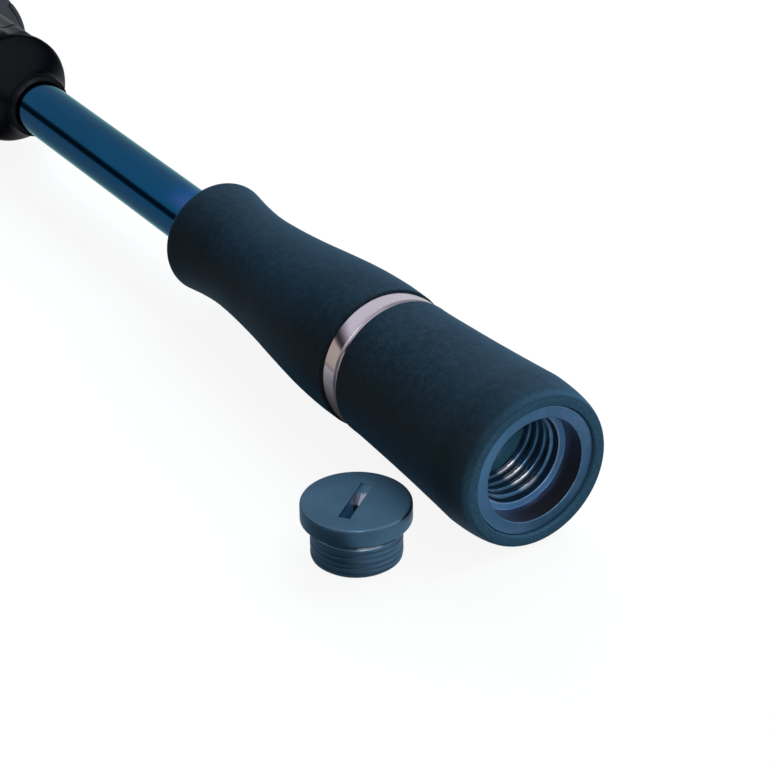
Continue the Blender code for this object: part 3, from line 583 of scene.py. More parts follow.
def lacquered_blank(name, place, colours):
    """Blue metal flake under clear lacquer. above is painted light beside the grip's nose."""
    finish = Finish(name, place, Metallic=1.0, Coat_Weight=0.28, Coat_Roughness=0.03, Coat_IOR=1.22,
                    Specular_Tint=(0.20, 0.53, 0.56, 1.0))
    flake = finish.noise(finish.point, 5200.0, 2.0, 0.6)
    cloud = finish.noise(finish.node("ShaderNodeVectorMath", {"operation": "MULTIPLY"},
                                     {0: finish.point, 1: (0.2, 1.0, 1.0)}), 140.0, 2.0)
    colour = finish.tint((flake * 0.5 + cloud * 0.5).ramp(0.3, 0.7), scaled(colours.lacquer, 0.85),
                         scaled(colours.lacquer, 1.18))
    above = (finish.z / finish.radius).ramp(0.55, 0.95)
    finish.colour(finish.tint(above * finish.x.fade(102.0 * MM, 114.0 * MM) * 0.85, colour,
                              (0.045, 0.090, 0.330)))
    finish.roughness(0.10 + 0.06 * flake)
    finish.bump(finish.noise(finish.point, 400.0, 2.0), 0.004 * MM, 0.5)
    return finish.material


def patterned(finish, pattern, span, tones, rough, relief=None):
    """Let one pattern lead from the darker tone to the lighter, and lead the roughness and the relief."""
    finish.colour(finish.tint(pattern.ramp(*span) if span else pattern, *tones))
    finish.roughness(rough[0] + rough[1] * pattern)
    if relief:
        finish.bump(pattern, relief, 0.6)
    return finish.material


def moulded_seat(name, place, colour):
    finish = Finish(name, place, Specular_IOR_Level=0.12)
    stipple = finish.noise(finish.point, 3000.0, 2.0, 0.6)
    return patterned(finish, stipple, (0.35, 0.7), (colour, scaled(colour, 1.5)), (0.36, 0.14), 0.010 * MM)


def satin_metal(name, place, colour, rough, edge=0.5):
    finish = Finish(name, place, Metallic=1.0, Specular_Tint=(edge, edge, edge, 1.0))
    lines = turning_lines(finish, 0.1 * MM)
    return patterned(finish, lines, (0.2, 0.8), (scaled(colour, 0.8), colour), (rough, 0.12), 0.004 * MM)


def smoked_wire(name, place, colour):
    finish = Finish(name, place, Metallic=1.0)
    smoke = finish.noise(finish.point, 500.0, 3.0)
    return patterned(finish, smoke, (0.3, 0.7), (scaled(colour, 0.7), colour), (0.14, 0.14))


def hard_ring(name, place, colour):
    finish = Finish(name, place, Coat_Weight=0.6, Coat_Roughness=0.03)
    grain = finish.noise(finish.point, 3500.0, 2.0)
    return patterned(finish, grain, None, (scaled(colour, 0.7), colour), (0.08, 0.08))


def wound_thread(name, place, colour):
    finish = Finish(name, place, IOR=1.2, Coat_Weight=0.7, Coat_Roughness=0.03, Coat_IOR=1.3)
    turns = (finish.x * (FULL_TURN / (0.2 * MM))).wave()
    finish.colour(finish.tint(turns, scaled(colour, 0.45), colour))
    finish.roughness(0.55 - 0.2 * turns)
    finish.bump(turns, 0.02 * MM, 0.5)
    return finish.material


def matte_solid(name, place, colour, scale, rough, relief):
    finish = Finish(name, place)
    grain = finish.noise(finish.point, scale, 3.0, 0.6)
    return patterned(finish, grain, (0.3, 0.7), (scaled(colour, 0.7), colour), (rough, 0.1), relief)


FINISHES = {}


def make_finishes(colours):
    rod, plug = PLACES["rod"], PLACES["plug"]
    FINISHES.update({
        "anodised": cup_anodising(rod, colours),
        "plug_anodised": plug_anodising(plug, colours),
        "foam": grip_foam("grip_foam", rod, colours),
        "band_metal": polished_band("copper_pink_band", rod, colours),
        "blank": lacquered_blank("blank_lacquer", rod, colours),
        "seat_plastic": moulded_seat("seat_moulding", rod, colours.seat),
        "hood_metal": satin_metal("gunmetal", rod, colours.hood, 0.26),
        "trim": satin_metal("black_trim", rod, (0.010, 0.011, 0.014), 0.30, 0.42),
        "arbor": matte_solid("arbor_foam", rod, colours.arbor, 900.0, 0.75, 0.05 * MM),
        "guide_metal": smoked_wire("smoked_wire", rod, colours.wire),
        "ceramic": hard_ring("ring_ceramic", rod, colours.ceramic),
        "winding": wound_thread("thread_under_resin", rod, colours.thread),
        "seal_rubber": matte_solid("seal_rubber", plug, colours.rubber, 2500.0, 0.6, 0.01 * MM),
    })


# Meshes

def added(name, data):
    """A new object in the scene."""
    obj = bpy.data.objects.new(name, data)
    bpy.context.scene.collection.objects.link(obj)
    return obj


def mesh_of(name, bm):
    mesh = bpy.data.meshes.new(name)
    bm.to_mesh(mesh)
    bm.free()
    return mesh


def take_mesh(bm, mesh):
    """Put a mesh into a bmesh and drop it."""
    bm.from_mesh(mesh)
    bpy.data.meshes.remove(mesh)
    return bm


def evaluated(obj):
    """What an object's modifiers make of it, as a bmesh."""
    graph = bpy.context.evaluated_depsgraph_get()
    return take_mesh(bmesh.new(), bpy.data.meshes.new_from_object(obj.evaluated_get(graph)))


def scratch_object(name, bm):
    bmesh.ops.recalc_face_normals(bm, faces=bm.faces)
    return added(name, mesh_of(name, bm))


def eased(outline):
    """Round the corners of (x, radius, rounding) points, whose rounding may be left out."""
    points = [(Vector(point[:2]), point[2] if len(point) > 2 else 0.0) for point in outline]
    smooth = []
    for k, (corner, rounding) in enumerate(points):
        if rounding == 0.0 or k in (0, len(points) - 1):
            smooth.append(tuple(corner))
            continue
        before = (points[k - 1][0] - corner).normalized() * rounding
        after = (points[k + 1][0] - corner).normalized() * rounding
        for step in range(5):
            t = step / 4
            smooth.append(tuple(corner + before * (1 - t) ** 2 + after * t ** 2))
    return smooth


def quarter_round(start, end, steps, bulge_first=True):
    """An elliptical quarter from start to end, running along the radius first or along x first."""
    (x0, r0), (x1, r1) = start, end
    arc = []
    for step in range(steps + 1):
        t = 0.5 * math.pi * step / steps
        across, along = (math.sin(t), 1 - math.cos(t)) if bulge_first else (1 - math.cos(t), math.sin(t))
        arc.append((x0 + (x1 - x0) * along, r0 + (r1 - r0) * across))
    return arc


def flowing(stations, steps):
    """A smooth line through (x, radius) stations, with this many steps between neighbours."""
    line = []
    for k in range(len(stations) - 1):
        p0 = stations[max(k - 1, 0)]
        p1, p2 = stations[k], stations[k + 1]
        p3 = stations[min(k + 2, len(stations) - 1)]
        start_slope = (p2[1] - p0[1]) / (p2[0] - p0[0])
        end_slope = (p3[1] - p1[1]) / (p3[0] - p1[0])
        span = p2[0] - p1[0]
        for step in range(steps):
            t = step / steps
            h00, h10 = 2 * t ** 3 - 3 * t ** 2 + 1, t ** 3 - 2 * t ** 2 + t
            h01, h11 = 3 * t ** 2 - 2 * t ** 3, t ** 3 - t ** 2
            radius = h00 * p1[1] + h10 * span * start_slope + h01 * p2[1] + h11 * span * end_slope
            line.append((p1[0] + t * span, radius))
    line.append(stations[-1])
    return line


def turned(outline, sides, closed=True):
    """Spin (x, radius) points about X."""
    bm = bmesh.new()
    rings = []
    for x, r in outline:
        if r < 1e-9:
            rings.append([bm.verts.new((x, 0, 0))] * sides)
        else:
            rings.append([bm.verts.new((x, r * math.cos(FULL_TURN * k / sides), r * math.sin(FULL_TURN * k / sides)))
                          for k in range(sides)])
    pairs = list(zip(rings, rings[1:]))
    if closed and outline[0][1] > 0.0:
        pairs.append((rings[-1], rings[0]))
    for near, far in pairs:
        for k in range(sides):
            corners = []
            for vert in (near[k], near[(k + 1) % sides], far[(k + 1) % sides], far[k]):
                if vert not in corners:
                    corners.append(vert)
            if len(corners) > 2:
                bm.faces.new(corners)
    return bm


def loft(loops, hollow):
    """Skin a row of equal loops. A hollow form closes its last loop back to its first."""
    bm = bmesh.new()
    rings = [[bm.verts.new(point) for point in loop] for loop in loops]
    pairs = list(zip(rings, rings[1:]))
    if hollow:
        pairs.append((rings[-1], rings[0]))
    for near, far in pairs:
        for k in range(len(near)):
            following = (k + 1) % len(near)
            bm.faces.new((near[k], near[following], far[following], far[k]))
    if not hollow:
        bm.faces.new(rings[0])
        bm.faces.new(rings[-1])
    return bm


def sleeve(outside, inside, angles):
    """A tube around X. Both lists hold (x, radius), with the radius a function of the angle from -Y."""
    loops = [[Vector((x, -radius(a) * math.cos(a), radius(a) * math.sin(a))) for a in angles]
             for x, radius in outside + inside[::-1]]
    return loft(loops, hollow=True)


def even_angles(count):
    return [FULL_TURN * (k + 0.5) / count for k in range(count)]


def swept(path, radius, sides):
    """A round wire with domed ends along a path of points."""
    loops = []
    for k, point in enumerate(path):
        along = (path[min(k + 1, len(path) - 1)] - path[max(k - 1, 0)]).normalized()
        across = along.cross(Vector((0, 0, 1)))
        if across.length < 0.1:
            across = along.cross(Vector((0, 1, 0)))
        across.normalize()
        upward = along.cross(across)
        loops.append([point + radius * (math.cos(a) * across + math.sin(a) * upward) for a in even_angles(sides)])
    return loft(loops, hollow=False)


def gathered(forms):
    """Put several forms into one mesh."""
    whole = bmesh.new()
    for form in forms:
        bmesh.ops.recalc_face_normals(form, faces=form.faces)
        take_mesh(whole, mesh_of("part", form))
    return whole


def finished(name, bm, place, node, material=None, sharp=32.0, recalc=True):
    """Make a piece at its place, over the CAD node that it stands for and on that node's body."""
    bmesh.ops.remove_doubles(bm, verts=bm.verts, dist=1e-7)
    if recalc:
        bmesh.ops.recalc_face_normals(bm, faces=bm.faces)
    bmesh.ops.transform(bm, verts=bm.verts, matrix=PLACES[place])
    mesh = mesh_of(name, bm)
    mesh.materials.append(material or FINISHES[SLOT_OF[node]])
    mesh.shade_smooth()
    mesh.set_sharp_from_angle(angle=math.radians(sharp))
    obj = added(name, mesh)
    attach(obj, frame["nodes"][node]["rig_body"])
    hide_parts(node)
    return obj


# Screw threads, which follow one rule

def thread_tree():
    """Geometry nodes that roll a grid into a wall with a screw thread on it, around X."""
    tree = bpy.data.node_groups.new("screw_thread", "GeometryNodeTree")
    graph = Graph(tree)
    tree.interface.new_socket("Geometry", in_out="OUTPUT", socket_type="NodeSocketGeometry")
    for name in ("Start", "End", "Wall", "Depth", "Pitch", "Run out", "Crest", "Phase"):
        tree.interface.new_socket(name, in_out="INPUT", socket_type="NodeSocketFloat")
    for name in ("Rows", "Sides"):
        tree.interface.new_socket(name, in_out="INPUT", socket_type="NodeSocketInt")
    tree.interface.new_socket("Finish", in_out="INPUT", socket_type="NodeSocketMaterial")
    ask = graph.node("NodeGroupInput").output
    grid = graph.node("GeometryNodeMeshGrid", {}, {
        "Size X": 1.0, "Size Y": 1.0, "Vertices X": ask("Rows"), "Vertices Y": ask("Sides")})
    grid_x, grid_y, _ = graph.axes(graph.node("GeometryNodeInputPosition"))
    along = (grid_x + 0.5) * (ask("End") - ask("Start")) + ask("Start")
    turn = grid_y + 0.5
    place = (along / ask("Pitch") - turn + ask("Phase") + 64.0).fraction()
    ridge = (place - 0.5).size().fade(ask("Crest") * 0.5, 0.46)
    entry = along.ramp(ask("Start"), ask("Start") + ask("Run out"))
    leave = (ask("End") - along).ramp(0.0, ask("Run out"))
    height = ridge * entry * leave
    radius = ask("Wall") + ask("Depth") * height
    angle = turn * FULL_TURN
    rolled = graph.vector(along, radius * angle.cosine(), radius * angle.sine())
    marked = graph.node("GeometryNodeStoreNamedAttribute", {"data_type": "FLOAT", "domain": "POINT"}, {
        "Geometry": grid, "Name": "valley", "Value": (1.0 - ridge) * entry * leave})
    moved = graph.node("GeometryNodeSetPosition", {}, {"Geometry": marked, "Position": rolled})
    welded = graph.node("GeometryNodeMergeByDistance", {}, {"Geometry": moved, "Distance": 1e-7})
    whole = graph.node("GeometryNodeRealizeInstances", {}, {"Geometry": welded})
    painted = graph.node("GeometryNodeSetMaterial", {}, {"Geometry": whole, "Material": ask("Finish")})
    graph.feed(tree.nodes.new("NodeGroupOutput").inputs[0], painted)
    return tree


def threaded_wall(material, **values):
    """The thread tree's result as a bmesh, made with these inputs."""
    tree = bpy.data.node_groups.get("screw_thread") or thread_tree()
    carrier = added("thread_carrier", bpy.data.meshes.new("thread_carrier"))
    modifier = carrier.modifiers.new("thread", "NODES")
    modifier.node_group = tree
    keys = {item.name: item.identifier for item in tree.interface.items_tree if item.in_out == "INPUT"}
    for name, value in values.items():
        modifier[keys[name.replace("_", " ")]] = value
    modifier[keys["Finish"]] = material
    wall = evaluated(carrier)
    bpy.data.objects.remove(carrier, do_unlink=True)
    return wall


def with_wall(body, wall):
    """Join a threaded wall to the turned body around it. The wall keeps its valley attribute."""
    take_mesh(wall, mesh_of("part", body))
    bmesh.ops.remove_doubles(wall, verts=wall.verts, dist=2e-6)
    return wall


# Butt fittings

def make_cup(sizes, sides):
    material = FINISHES["anodised"]
    blank_bore = BUTT_RADIUS * MM + GAP
    vent = 2.0 * MM
    thread_start, thread_end = sizes.counterbore_depth + 1.15 * MM, sizes.bore_depth
    neck_end = sizes.cup_length + sizes.neck_length
    root = sizes.root_radius
    outline = eased([
        (thread_start, root), (thread_start - 0.05 * MM, 7.5 * MM, 0.04 * MM),
        (sizes.counterbore_depth, sizes.ledge_radius, 0.10 * MM),
        (sizes.counterbore_depth, sizes.counterbore_radius, 0.10 * MM),
        (0.0, sizes.counterbore_radius, 0.16 * MM), (0.0, sizes.cup_radius, 0.08 * MM),
        (sizes.cup_length, sizes.cup_radius, 0.2 * MM), (sizes.cup_length, sizes.neck_radius, 0.1 * MM),
        (neck_end, sizes.neck_radius, 0.2 * MM), (neck_end, blank_bore, 0.1 * MM),
        (sizes.cup_length, blank_bore, 0.1 * MM), (sizes.cup_length, vent, 0.1 * MM),
        (sizes.bore_depth, vent, 0.1 * MM), (thread_end, root),
    ])
    body = turned(outline, sides, closed=False)
    wall = threaded_wall(material, Start=thread_start, End=thread_end, Wall=root,
                         Depth=sizes.crest_radius - root, Pitch=sizes.pitch, Run_out=0.5 * MM, Crest=0.22,
                         Phase=0.05, Rows=96, Sides=sides + 1)
    finished("cup_turned", with_wall(body, wall), "rod", "butt_cup")


def slot_form(sizes):
    """The space that a disc cutter leaves, with a small break along its upper edges."""
    loops = []
    levels = [0.6 * MM, 0.0, -0.06 * MM]
    depth = sizes.slot_cutter - sizes.slot_rise
    levels += [-depth * math.sin(0.5 * math.pi * k / 24) for k in range(1, 25)]
    for level in levels:
        flare = max(0.0, min(0.06 * MM, level + 0.06 * MM))
        reach = math.sqrt(max(sizes.slot_cutter ** 2 - (sizes.slot_rise - min(level, 0.0)) ** 2, 0.0)) + flare
        reach = max(reach, 0.02 * MM)
        half = 0.5 * sizes.slot_width + flare
        x = sizes.height + level
        loops.append([Vector((x, -half, -reach)), Vector((x, half, -reach)),
                      Vector((x, half, reach)), Vector((x, -half, reach))])
    return loft(loops, hollow=False)


def make_plug(sizes, sides):
    material = FINISHES["plug_anodised"]
    crest, root = sizes.thread_radius, sizes.thread_radius - sizes.thread_depth
    groove_start, shoulder = 5.65 * MM, crest - 0.10 * MM
    thread_start, thread_end = 0.5 * MM, groove_start - 0.5 * MM
    outline = eased([
        (thread_end, root), (thread_end + 0.05 * MM, shoulder, 0.03 * MM),
        (groove_start - 0.36 * MM, shoulder, 0.04 * MM), (groove_start, crest - 0.46 * MM, 0.04 * MM),
        (groove_start, sizes.groove_radius, 0.05 * MM),
        (sizes.head_underside, sizes.groove_radius, 0.05 * MM),
        (sizes.head_underside, sizes.head_radius - 0.34 * MM, 0.08 * MM),
        (sizes.head_underside + 0.34 * MM, sizes.head_radius, 0.10 * MM),
        (sizes.height, sizes.head_radius, sizes.head_edge), (sizes.height, 0.0),
    ])
    hollow_top, hollow_radius = 6.9 * MM, 4.8 * MM
    inner = eased([
        (hollow_top, 0.0), (hollow_top, hollow_radius, 0.2 * MM), (0.0, hollow_radius, 0.15 * MM),
        (0.0, sizes.foot_radius, 0.08 * MM), (thread_start, root),
    ])
    body = gathered([turned(outline, sides, closed=False), turned(inner, sides, closed=False)])
    wall = threaded_wall(material, Start=thread_start, End=thread_end, Wall=root, Depth=sizes.thread_depth,
                         Pitch=2.0 * MM, Run_out=0.37 * MM, Crest=0.56, Phase=0.20, Rows=72, Sides=sides + 1)
    whole = with_wall(body, wall)
    bmesh.ops.recalc_face_normals(whole, faces=whole.faces)
    solid = scratch_object("plug_solid", whole)
    cutter = scratch_object("slot_cutter", slot_form(sizes))
    cut = solid.modifiers.new("slot", "BOOLEAN")
    cut.operation = "DIFFERENCE"
    cut.solver = "EXACT"
    cut.object = cutter
    slotted = evaluated(solid)
    for obj in (solid, cutter):
        bpy.data.objects.remove(obj, do_unlink=True)
    finished("plug_turned", slotted, "plug", "butt_plug", material, sharp=28.0, recalc=False)

    cord_r = 0.5 * sizes.seal_thickness
    cord = [(6.17 * MM + cord_r * math.cos(a), sizes.seal_radius + cord_r * math.sin(a)) for a in even_angles(20)]
    finished("seal_ring", turned(cord, sides), "plug", "plug_seal")


# Handle

REAR_GRIP_TAPER = ((7.6, 13.95), (13.5, 13.52), (22.0, 12.99), (31.0, 12.55), (35.6, 12.36), (38.2, 12.34))
FRONT_GRIP_WAIST = ((43.1, 12.5), (48.0, 12.54), (55.0, 12.2), (63.0, 11.37), (71.0, 10.42), (79.0, 9.72),
                    (86.4, 9.44), (92.5, 9.84), (97.4, 10.49))


def in_mm(points):
    return [(x * MM, r * MM) for x, r in points]


def make_grips(handle, butt, blank):
    sides = handle.sides
    blank_bore = blank.butt_radius + GAP
    grip_end = -0.57 * MM
    rounding = quarter_round((grip_end, handle.end_radius), (7.6 * MM, handle.grip_radius), 24)
    rear = rounding + flowing(in_mm(REAR_GRIP_TAPER), 6)[1:]
    bore = eased([
        rear[-1], (handle.band_start, blank_bore), (butt.cup_length + butt.neck_length + GAP, blank_bore),
        (butt.cup_length + butt.neck_length + GAP, butt.neck_radius + GAP),
        (butt.cup_length + GAP, butt.neck_radius + GAP), (butt.cup_length + GAP, butt.cup_radius + GAP),
        (grip_end, butt.cup_radius + GAP, 0.25 * MM), rear[0],
    ])[1:-1]
    grip = finished("rear_grip_foam", turned(rear + bore, sides), "rod", "rear_grip", sharp=40.0)

    waist = quarter_round((handle.band_end, 12.15 * MM), (43.1 * MM, 12.5 * MM), 6) + flowing(
        in_mm(FRONT_GRIP_WAIST), 8)[1:]
    nose_end = 99.4 * MM
    nose = quarter_round(waist[-1], (nose_end, 5.9 * MM), 16, bulge_first=False)[1:]
    front_bore = [(nose_end, blank_bore), (handle.band_end, blank_bore)]
    grip = finished("front_grip_foam", turned(waist + nose + front_bore, sides), "rod", "front_grip", sharp=40.0)

    low = handle.band_radius - handle.band_step
    start, end = handle.band_start + GAP, handle.band_end - GAP
    band = eased([
        (start, blank_bore), (start, low, 0.12 * MM), (handle.band_start + 0.95 * MM, low, 0.05 * MM),
        (handle.band_start + 1.15 * MM, handle.band_radius, 0.10 * MM), (end, handle.band_radius, 0.12 * MM),
        (end, blank_bore),
    ])
    finished("band_turned", turned(band, sides), "rod", "grip_band")


# Blanks

def blank_radius(blank, x):
    if x <= blank.straight:
        return blank.butt_radius
    if x <= blank.joint:
        return blank.butt_radius + (blank.joint_radius - blank.butt_radius) * (x - blank.straight) / (
            blank.joint - blank.straight)
    return blank.socket_radius + (blank.tip_radius - blank.socket_radius) * (x - blank.joint) / (
        blank.tip - blank.joint)


def make_blanks(blank, butt):
    sides = 64
    start = butt.cup_length + GAP
    spigot_end = blank.joint + 58.0 * MM
    tapered = [blank.straight + (blank.joint - blank.straight) * k / 12 for k in range(13)]
    lower = [(start, blank.butt_radius)] + [(x, blank_radius(blank, x)) for x in tapered]
    lower += [(spigot_end - 1.0 * MM, 3.25 * MM), (spigot_end, 2.85 * MM), (spigot_end, 2.35 * MM),
              (blank.joint, blank.joint_radius - blank.wall), (blank.straight, blank.butt_radius - blank.wall),
              (start, blank.butt_radius - blank.wall)]
    finished("blank_lower", turned(lower, sides), "rod", "lower_blank")

    socket_x = blank.joint + GAP
    bore_r = blank.joint_radius + TRIM_GAP
    socket_end = socket_x + 62.0 * MM
    bore_end = 1900.0 * MM
    outer = [socket_x + 0.5 * MM + (blank.tip - socket_x) * k / 14 for k in range(14)]
    upper = [(bore_end, 0.0), (bore_end, blank_radius(blank, bore_end) - 0.6 * MM),
             (socket_end, bore_r - 0.7 * MM), (socket_end, bore_r), (socket_x, bore_r),
             (socket_x, blank.socket_radius - 0.15 * MM)]
    upper += [(x, blank_radius(blank, x)) for x in outer]
    upper += [(blank.tip - 4.0 * MM, blank.tip_radius + 0.01 * MM), (blank.tip, blank.tip_radius), (blank.tip, 0.0)]
    finished("blank_upper", turned(upper, sides), "rod", "upper_blank")

    wound_start, wound_end = blank.joint + 1.5 * MM, blank.joint + 36.0 * MM
    inner = blank.socket_radius + TRIM_GAP
    wound = eased([
        (wound_start, inner), (wound_start, inner + 0.25 * MM, 0.1 * MM),
        (wound_start + 1.5 * MM, inner + 0.5 * MM, 0.8 * MM), (wound_end - 3.0 * MM, inner + 0.5 * MM, 1.2 * MM),
        (wound_end, inner + 0.15 * MM, 0.08 * MM), (wound_end, inner),
    ])
    finished("joint_whipping", turned(wound, sides), "rod", "joint_winding")


# Reel seat

POCKET_ANGLE = math.radians(33)
POCKET_DEPTH = 13.5 * MM
HOOD_LENGTH = 19.5 * MM


def from_reel_side(angle):
    """How far an angle lies from the reel's side, from 0 to half a turn."""
    return abs((angle + math.pi) % FULL_TURN - math.pi)


def soft_drop(value, width):
    """1 up to 0, then falling smoothly to 0 at the width."""
    return 0.5 + 0.5 * math.cos(math.pi * min(max(value / width, 0.0), 1.0))


def flattened(round_r, flat, angle):
    """A round radius, cut by a flat on the reel's side."""
    facing = math.cos(angle)
    return min(round_r, flat / facing) if facing > 0.2 else round_r


def carried(stations, start, direction):
    """Stations measured from start, along X or back from it."""
    return [(start + direction * along, radius) for along, radius in stations]


def seat_surface(seat, x):
    """The barrel's outer radius at x: round, with a flat for the reel foot and a swell for the palm."""
    span = (x - SWELL_START) / SWELL_LENGTH
    swell = seat.swell * math.sin(math.pi * span) ** 2 if 0.0 < span < 1.0 else 0.0

    outside = max(217.6 * MM - x, x - 261.0 * MM) / (0.3 * MM)
    relief = 0.1 * MM * min(max(outside, 0.0), 1.0)

    def radius(angle):
        round_r = seat.radius + swell * 0.5 * (1.0 - math.cos(angle))
        return flattened(round_r, seat.saddle - relief, angle)
    return radius


def constant(radius):
    return lambda angle: radius


def seat_angles(seat):
    """Angles shared by the barrel and its hoods, with the flat's and the pocket's edges among them."""
    flat = math.acos(seat.saddle / seat.radius)
    side = [flat * k / 8 for k in range(1, 9)]
    side += [flat + (POCKET_ANGLE - flat) * k / 2 for k in (1, 2)] + [POCKET_ANGLE + 0.03]
    rest = 64
    span = FULL_TURN - 2 * side[-1]
    around = [side[-1] + span * k / rest for k in range(1, rest)]
    return [-angle for angle in reversed(side)] + [0.0, *side, *around]


def hood_bump(angle):
    """1 over the reel foot's pocket, falling smoothly to 0 at the sides."""
    return soft_drop(from_reel_side(angle) - POCKET_ANGLE - math.radians(3), math.radians(26))


def hood(seat, mouth, direction):
    """A hood whose pocket opens at mouth and runs back from it along X."""
    ring = seat.hood_radius

    def outer(bump, drop=0.0):
        return lambda angle: ring - drop + (bump + drop) * hood_bump(angle)

    def bore(angle):
        return flattened(seat.radius + GAP, seat.saddle + GAP, angle)

    def pocket(angle):
        return seat.roof_radius if from_reel_side(angle) < POCKET_ANGLE + 1e-6 else bore(angle)

    full = seat.roof_radius + 1.2 * MM - ring
    back = HOOD_LENGTH
    outside = [(0.0, outer(full - 0.3 * MM, 0.12 * MM)), (0.25 * MM, outer(full - 0.05 * MM)),
               (0.5 * MM, outer(full))]
    stations = flowing([(0.5 * MM, full), (0.3 * back, 0.965 * full), (0.55 * back, 0.83 * full),
                        (0.8 * back, 0.43 * full), (back - 0.8 * MM, 0.07 * full)], 6)[1:]
    outside += [(x, outer(bump)) for x, bump in stations]
    outside += [(back - 0.3 * MM, outer(0.0, 0.08 * MM)), (back, outer(0.0, 0.4 * MM))]
    inside = [(0.0, pocket), (POCKET_DEPTH, pocket), (POCKET_DEPTH, bore), (back, bore)]
    return sleeve(carried(outside, mouth, direction), carried(inside, mouth, direction), seat_angles(seat))


def make_seat(seat, blank):
    sides = 96
    blank_bore = blank.butt_radius + GAP
    trim_end = seat.start + seat.trim_length
    flare = [(seat.start + along * MM, radius * MM) for along, radius in (
        (1.7, 6.5), (3.2, 6.82), (5.2, 7.72), (7.5, 9.05), (9.4, 10.25), (10.8, 10.95))]
    trim = eased([
        (seat.start, blank_bore), (seat.start, 5.7 * MM, 0.05 * MM), (seat.start + 0.5 * MM, 6.3 * MM, 0.12 * MM),
        (seat.start + 1.3 * MM, 6.45 * MM, 0.05 * MM), (seat.start + 1.36 * MM, 6.2 * MM, 0.03 * MM),
        (seat.start + 1.6 * MM, 6.2 * MM, 0.03 * MM), *flowing(flare, 6),
        (seat.start + 11.5 * MM, seat.trim_radius, 0.3 * MM), (trim_end, seat.trim_radius, 0.35 * MM),
        (trim_end, blank_bore),
    ])
    finished("seat_rear_cap", turned(trim, sides), "rod", "seat_rear_trim", FINISHES["trim"])

    start = trim_end + GAP
    angles = seat_angles(seat)

    def barrel(x):
        """The barrel's surface, with a shallow thread round its rear part where the nut runs."""
        plain = seat_surface(seat, x)
        fade = min(1.0, max(0.0, (x - start) / MM), max(0.0, (THREAD_END - x) / MM))
        if fade <= 0.0:
            return plain

        def radius(angle):
            phase = (x / seat.thread_pitch + angle / FULL_TURN) % 1.0
            cut = 0.28 * MM * fade * (0.5 - 0.5 * math.cos(FULL_TURN * phase)) ** 2
            return min(plain(angle), seat.radius - cut)
        return radius
    threaded = [start + 0.14 * MM * k for k in range(int((THREAD_END - start) / (0.14 * MM)))]
    swell = [THREAD_END, SWELL_START] + [SWELL_START + SWELL_LENGTH * k / 24 for k in range(1, 25)] + [261.3 * MM]
    surface = [(x, barrel(x)) for x in threaded] + [(x, seat_surface(seat, x)) for x in swell]
    surface += [(seat.end - 0.3 * MM, seat_surface(seat, seat.end)),
                (seat.end, lambda angle: seat_surface(seat, seat.end)(angle) - 0.2 * MM)]
    bore = [(x, constant(BARREL_BORE * MM)) for x in (start, seat.end)]
    finished("seat_barrel", sleeve(surface, bore, angles), "reel", "seat_body")

    for name, node, first, last in (("arbor_rear", "rear_arbor", 183.0, 203.0),
                                    ("arbor_front", "front_arbor", 250.0, 280.0)):
        core = eased([(first * MM, blank_bore), (first * MM, ARBOR_RADIUS * MM, 0.3 * MM),
                      (last * MM, ARBOR_RADIUS * MM, 0.3 * MM), (last * MM, blank_bore)])
        finished(name, turned(core, 48), "rod", node)

    finished("hood_moving", hood(seat, 197.0 * MM + HOOD_LENGTH, -1), "reel", "moving_hood")
    finished("hood_fixed", hood(seat, 262.0 * MM, 1), "reel", "fixed_hood")

    nut_end = seat.nut_start + seat.nut_length
    lobe = 0.45 * MM

    def nut(height):
        def radius(angle):
            wave = math.cos(seat.nut_lobes * angle)
            return seat.nut_radius - lobe + height + lobe * math.copysign(abs(wave) ** 0.7, wave)
        return radius
    rims = [(0.0, -0.8), (0.15, -0.35), (0.45, -0.1), (0.9, 0.0)]
    surface = [(seat.nut_start + along * MM, nut(height * MM)) for along, height in rims]
    groove = 4.2
    surface += [(seat.nut_start + (groove + along) * MM, nut(height * MM))
                for along, height in ((0.0, 0.0), (0.2, -0.35), (0.6, -0.35), (0.8, 0.0))]
    surface += [(nut_end - along * MM, nut(height * MM)) for along, height in reversed(rims)]
    bore = [(x, constant(seat.radius + GAP)) for x in (seat.nut_start, nut_end)]
    finished("nut_lobed", sleeve(surface, bore, even_angles(12 * seat.nut_lobes)), "reel", "lock_nut")

    start = seat.end + GAP
    end = start + 6.5 * MM
    check = [(start, blank_bore), *quarter_round((start, 9.3 * MM), (end, 6.1 * MM), 14, bulge_first=False),
             (end, blank_bore)]
    finished("check_turned", turned(check, sides), "rod", "front_check")


# Line guides: distance from the butt, ring diameter, ring height above the blank, number of feet, in mm

GUIDES = (
    (860, 20.0, 24.0, 2),
    (1130, 10.0, 13.0, 2),
    (1380, 7.0, 9.0, 1),
    (1600, 5.5, 6.5, 1),
    (1800, 5.5, 6.0, 1),
    (1980, 5.5, 5.5, 1),
    (2150, 5.5, 5.0, 1),
    (2300, 5.5, 5.0, 1),
)


def bend(start, corner, end, steps):
    """A quadratic curve from start to end, pulled towards corner."""
    return [start.lerp(corner, k / steps).lerp(corner.lerp(end, k / steps), k / steps) for k in range(steps + 1)]


def foot_form(root, direction, base_r, width, thickness, length):
    """A guide's foot: a crowned plate on the blank that thins away from the guide's root."""
    base = base_r + TRIM_GAP
    loops = []
    for step in range(9):
        t = step / 8
        x = root + direction * (-0.05 + 1.05 * t) * length
        half = 0.5 * width * (1.0 - 0.4 * t)
        top = base + thickness * (1.0 - 0.7 * t)
        crown = [Vector((x, -top + (top - base) * 0.55 * (abs(s) ** 2.4), half * s))
                 for s in (-1.0, -0.8, -0.5, -0.2, 0.2, 0.5, 0.8, 1.0)]
        loops.append([Vector((x, -base, -half)), *crown, Vector((x, -base, half))])
    return loft(loops, hollow=False)


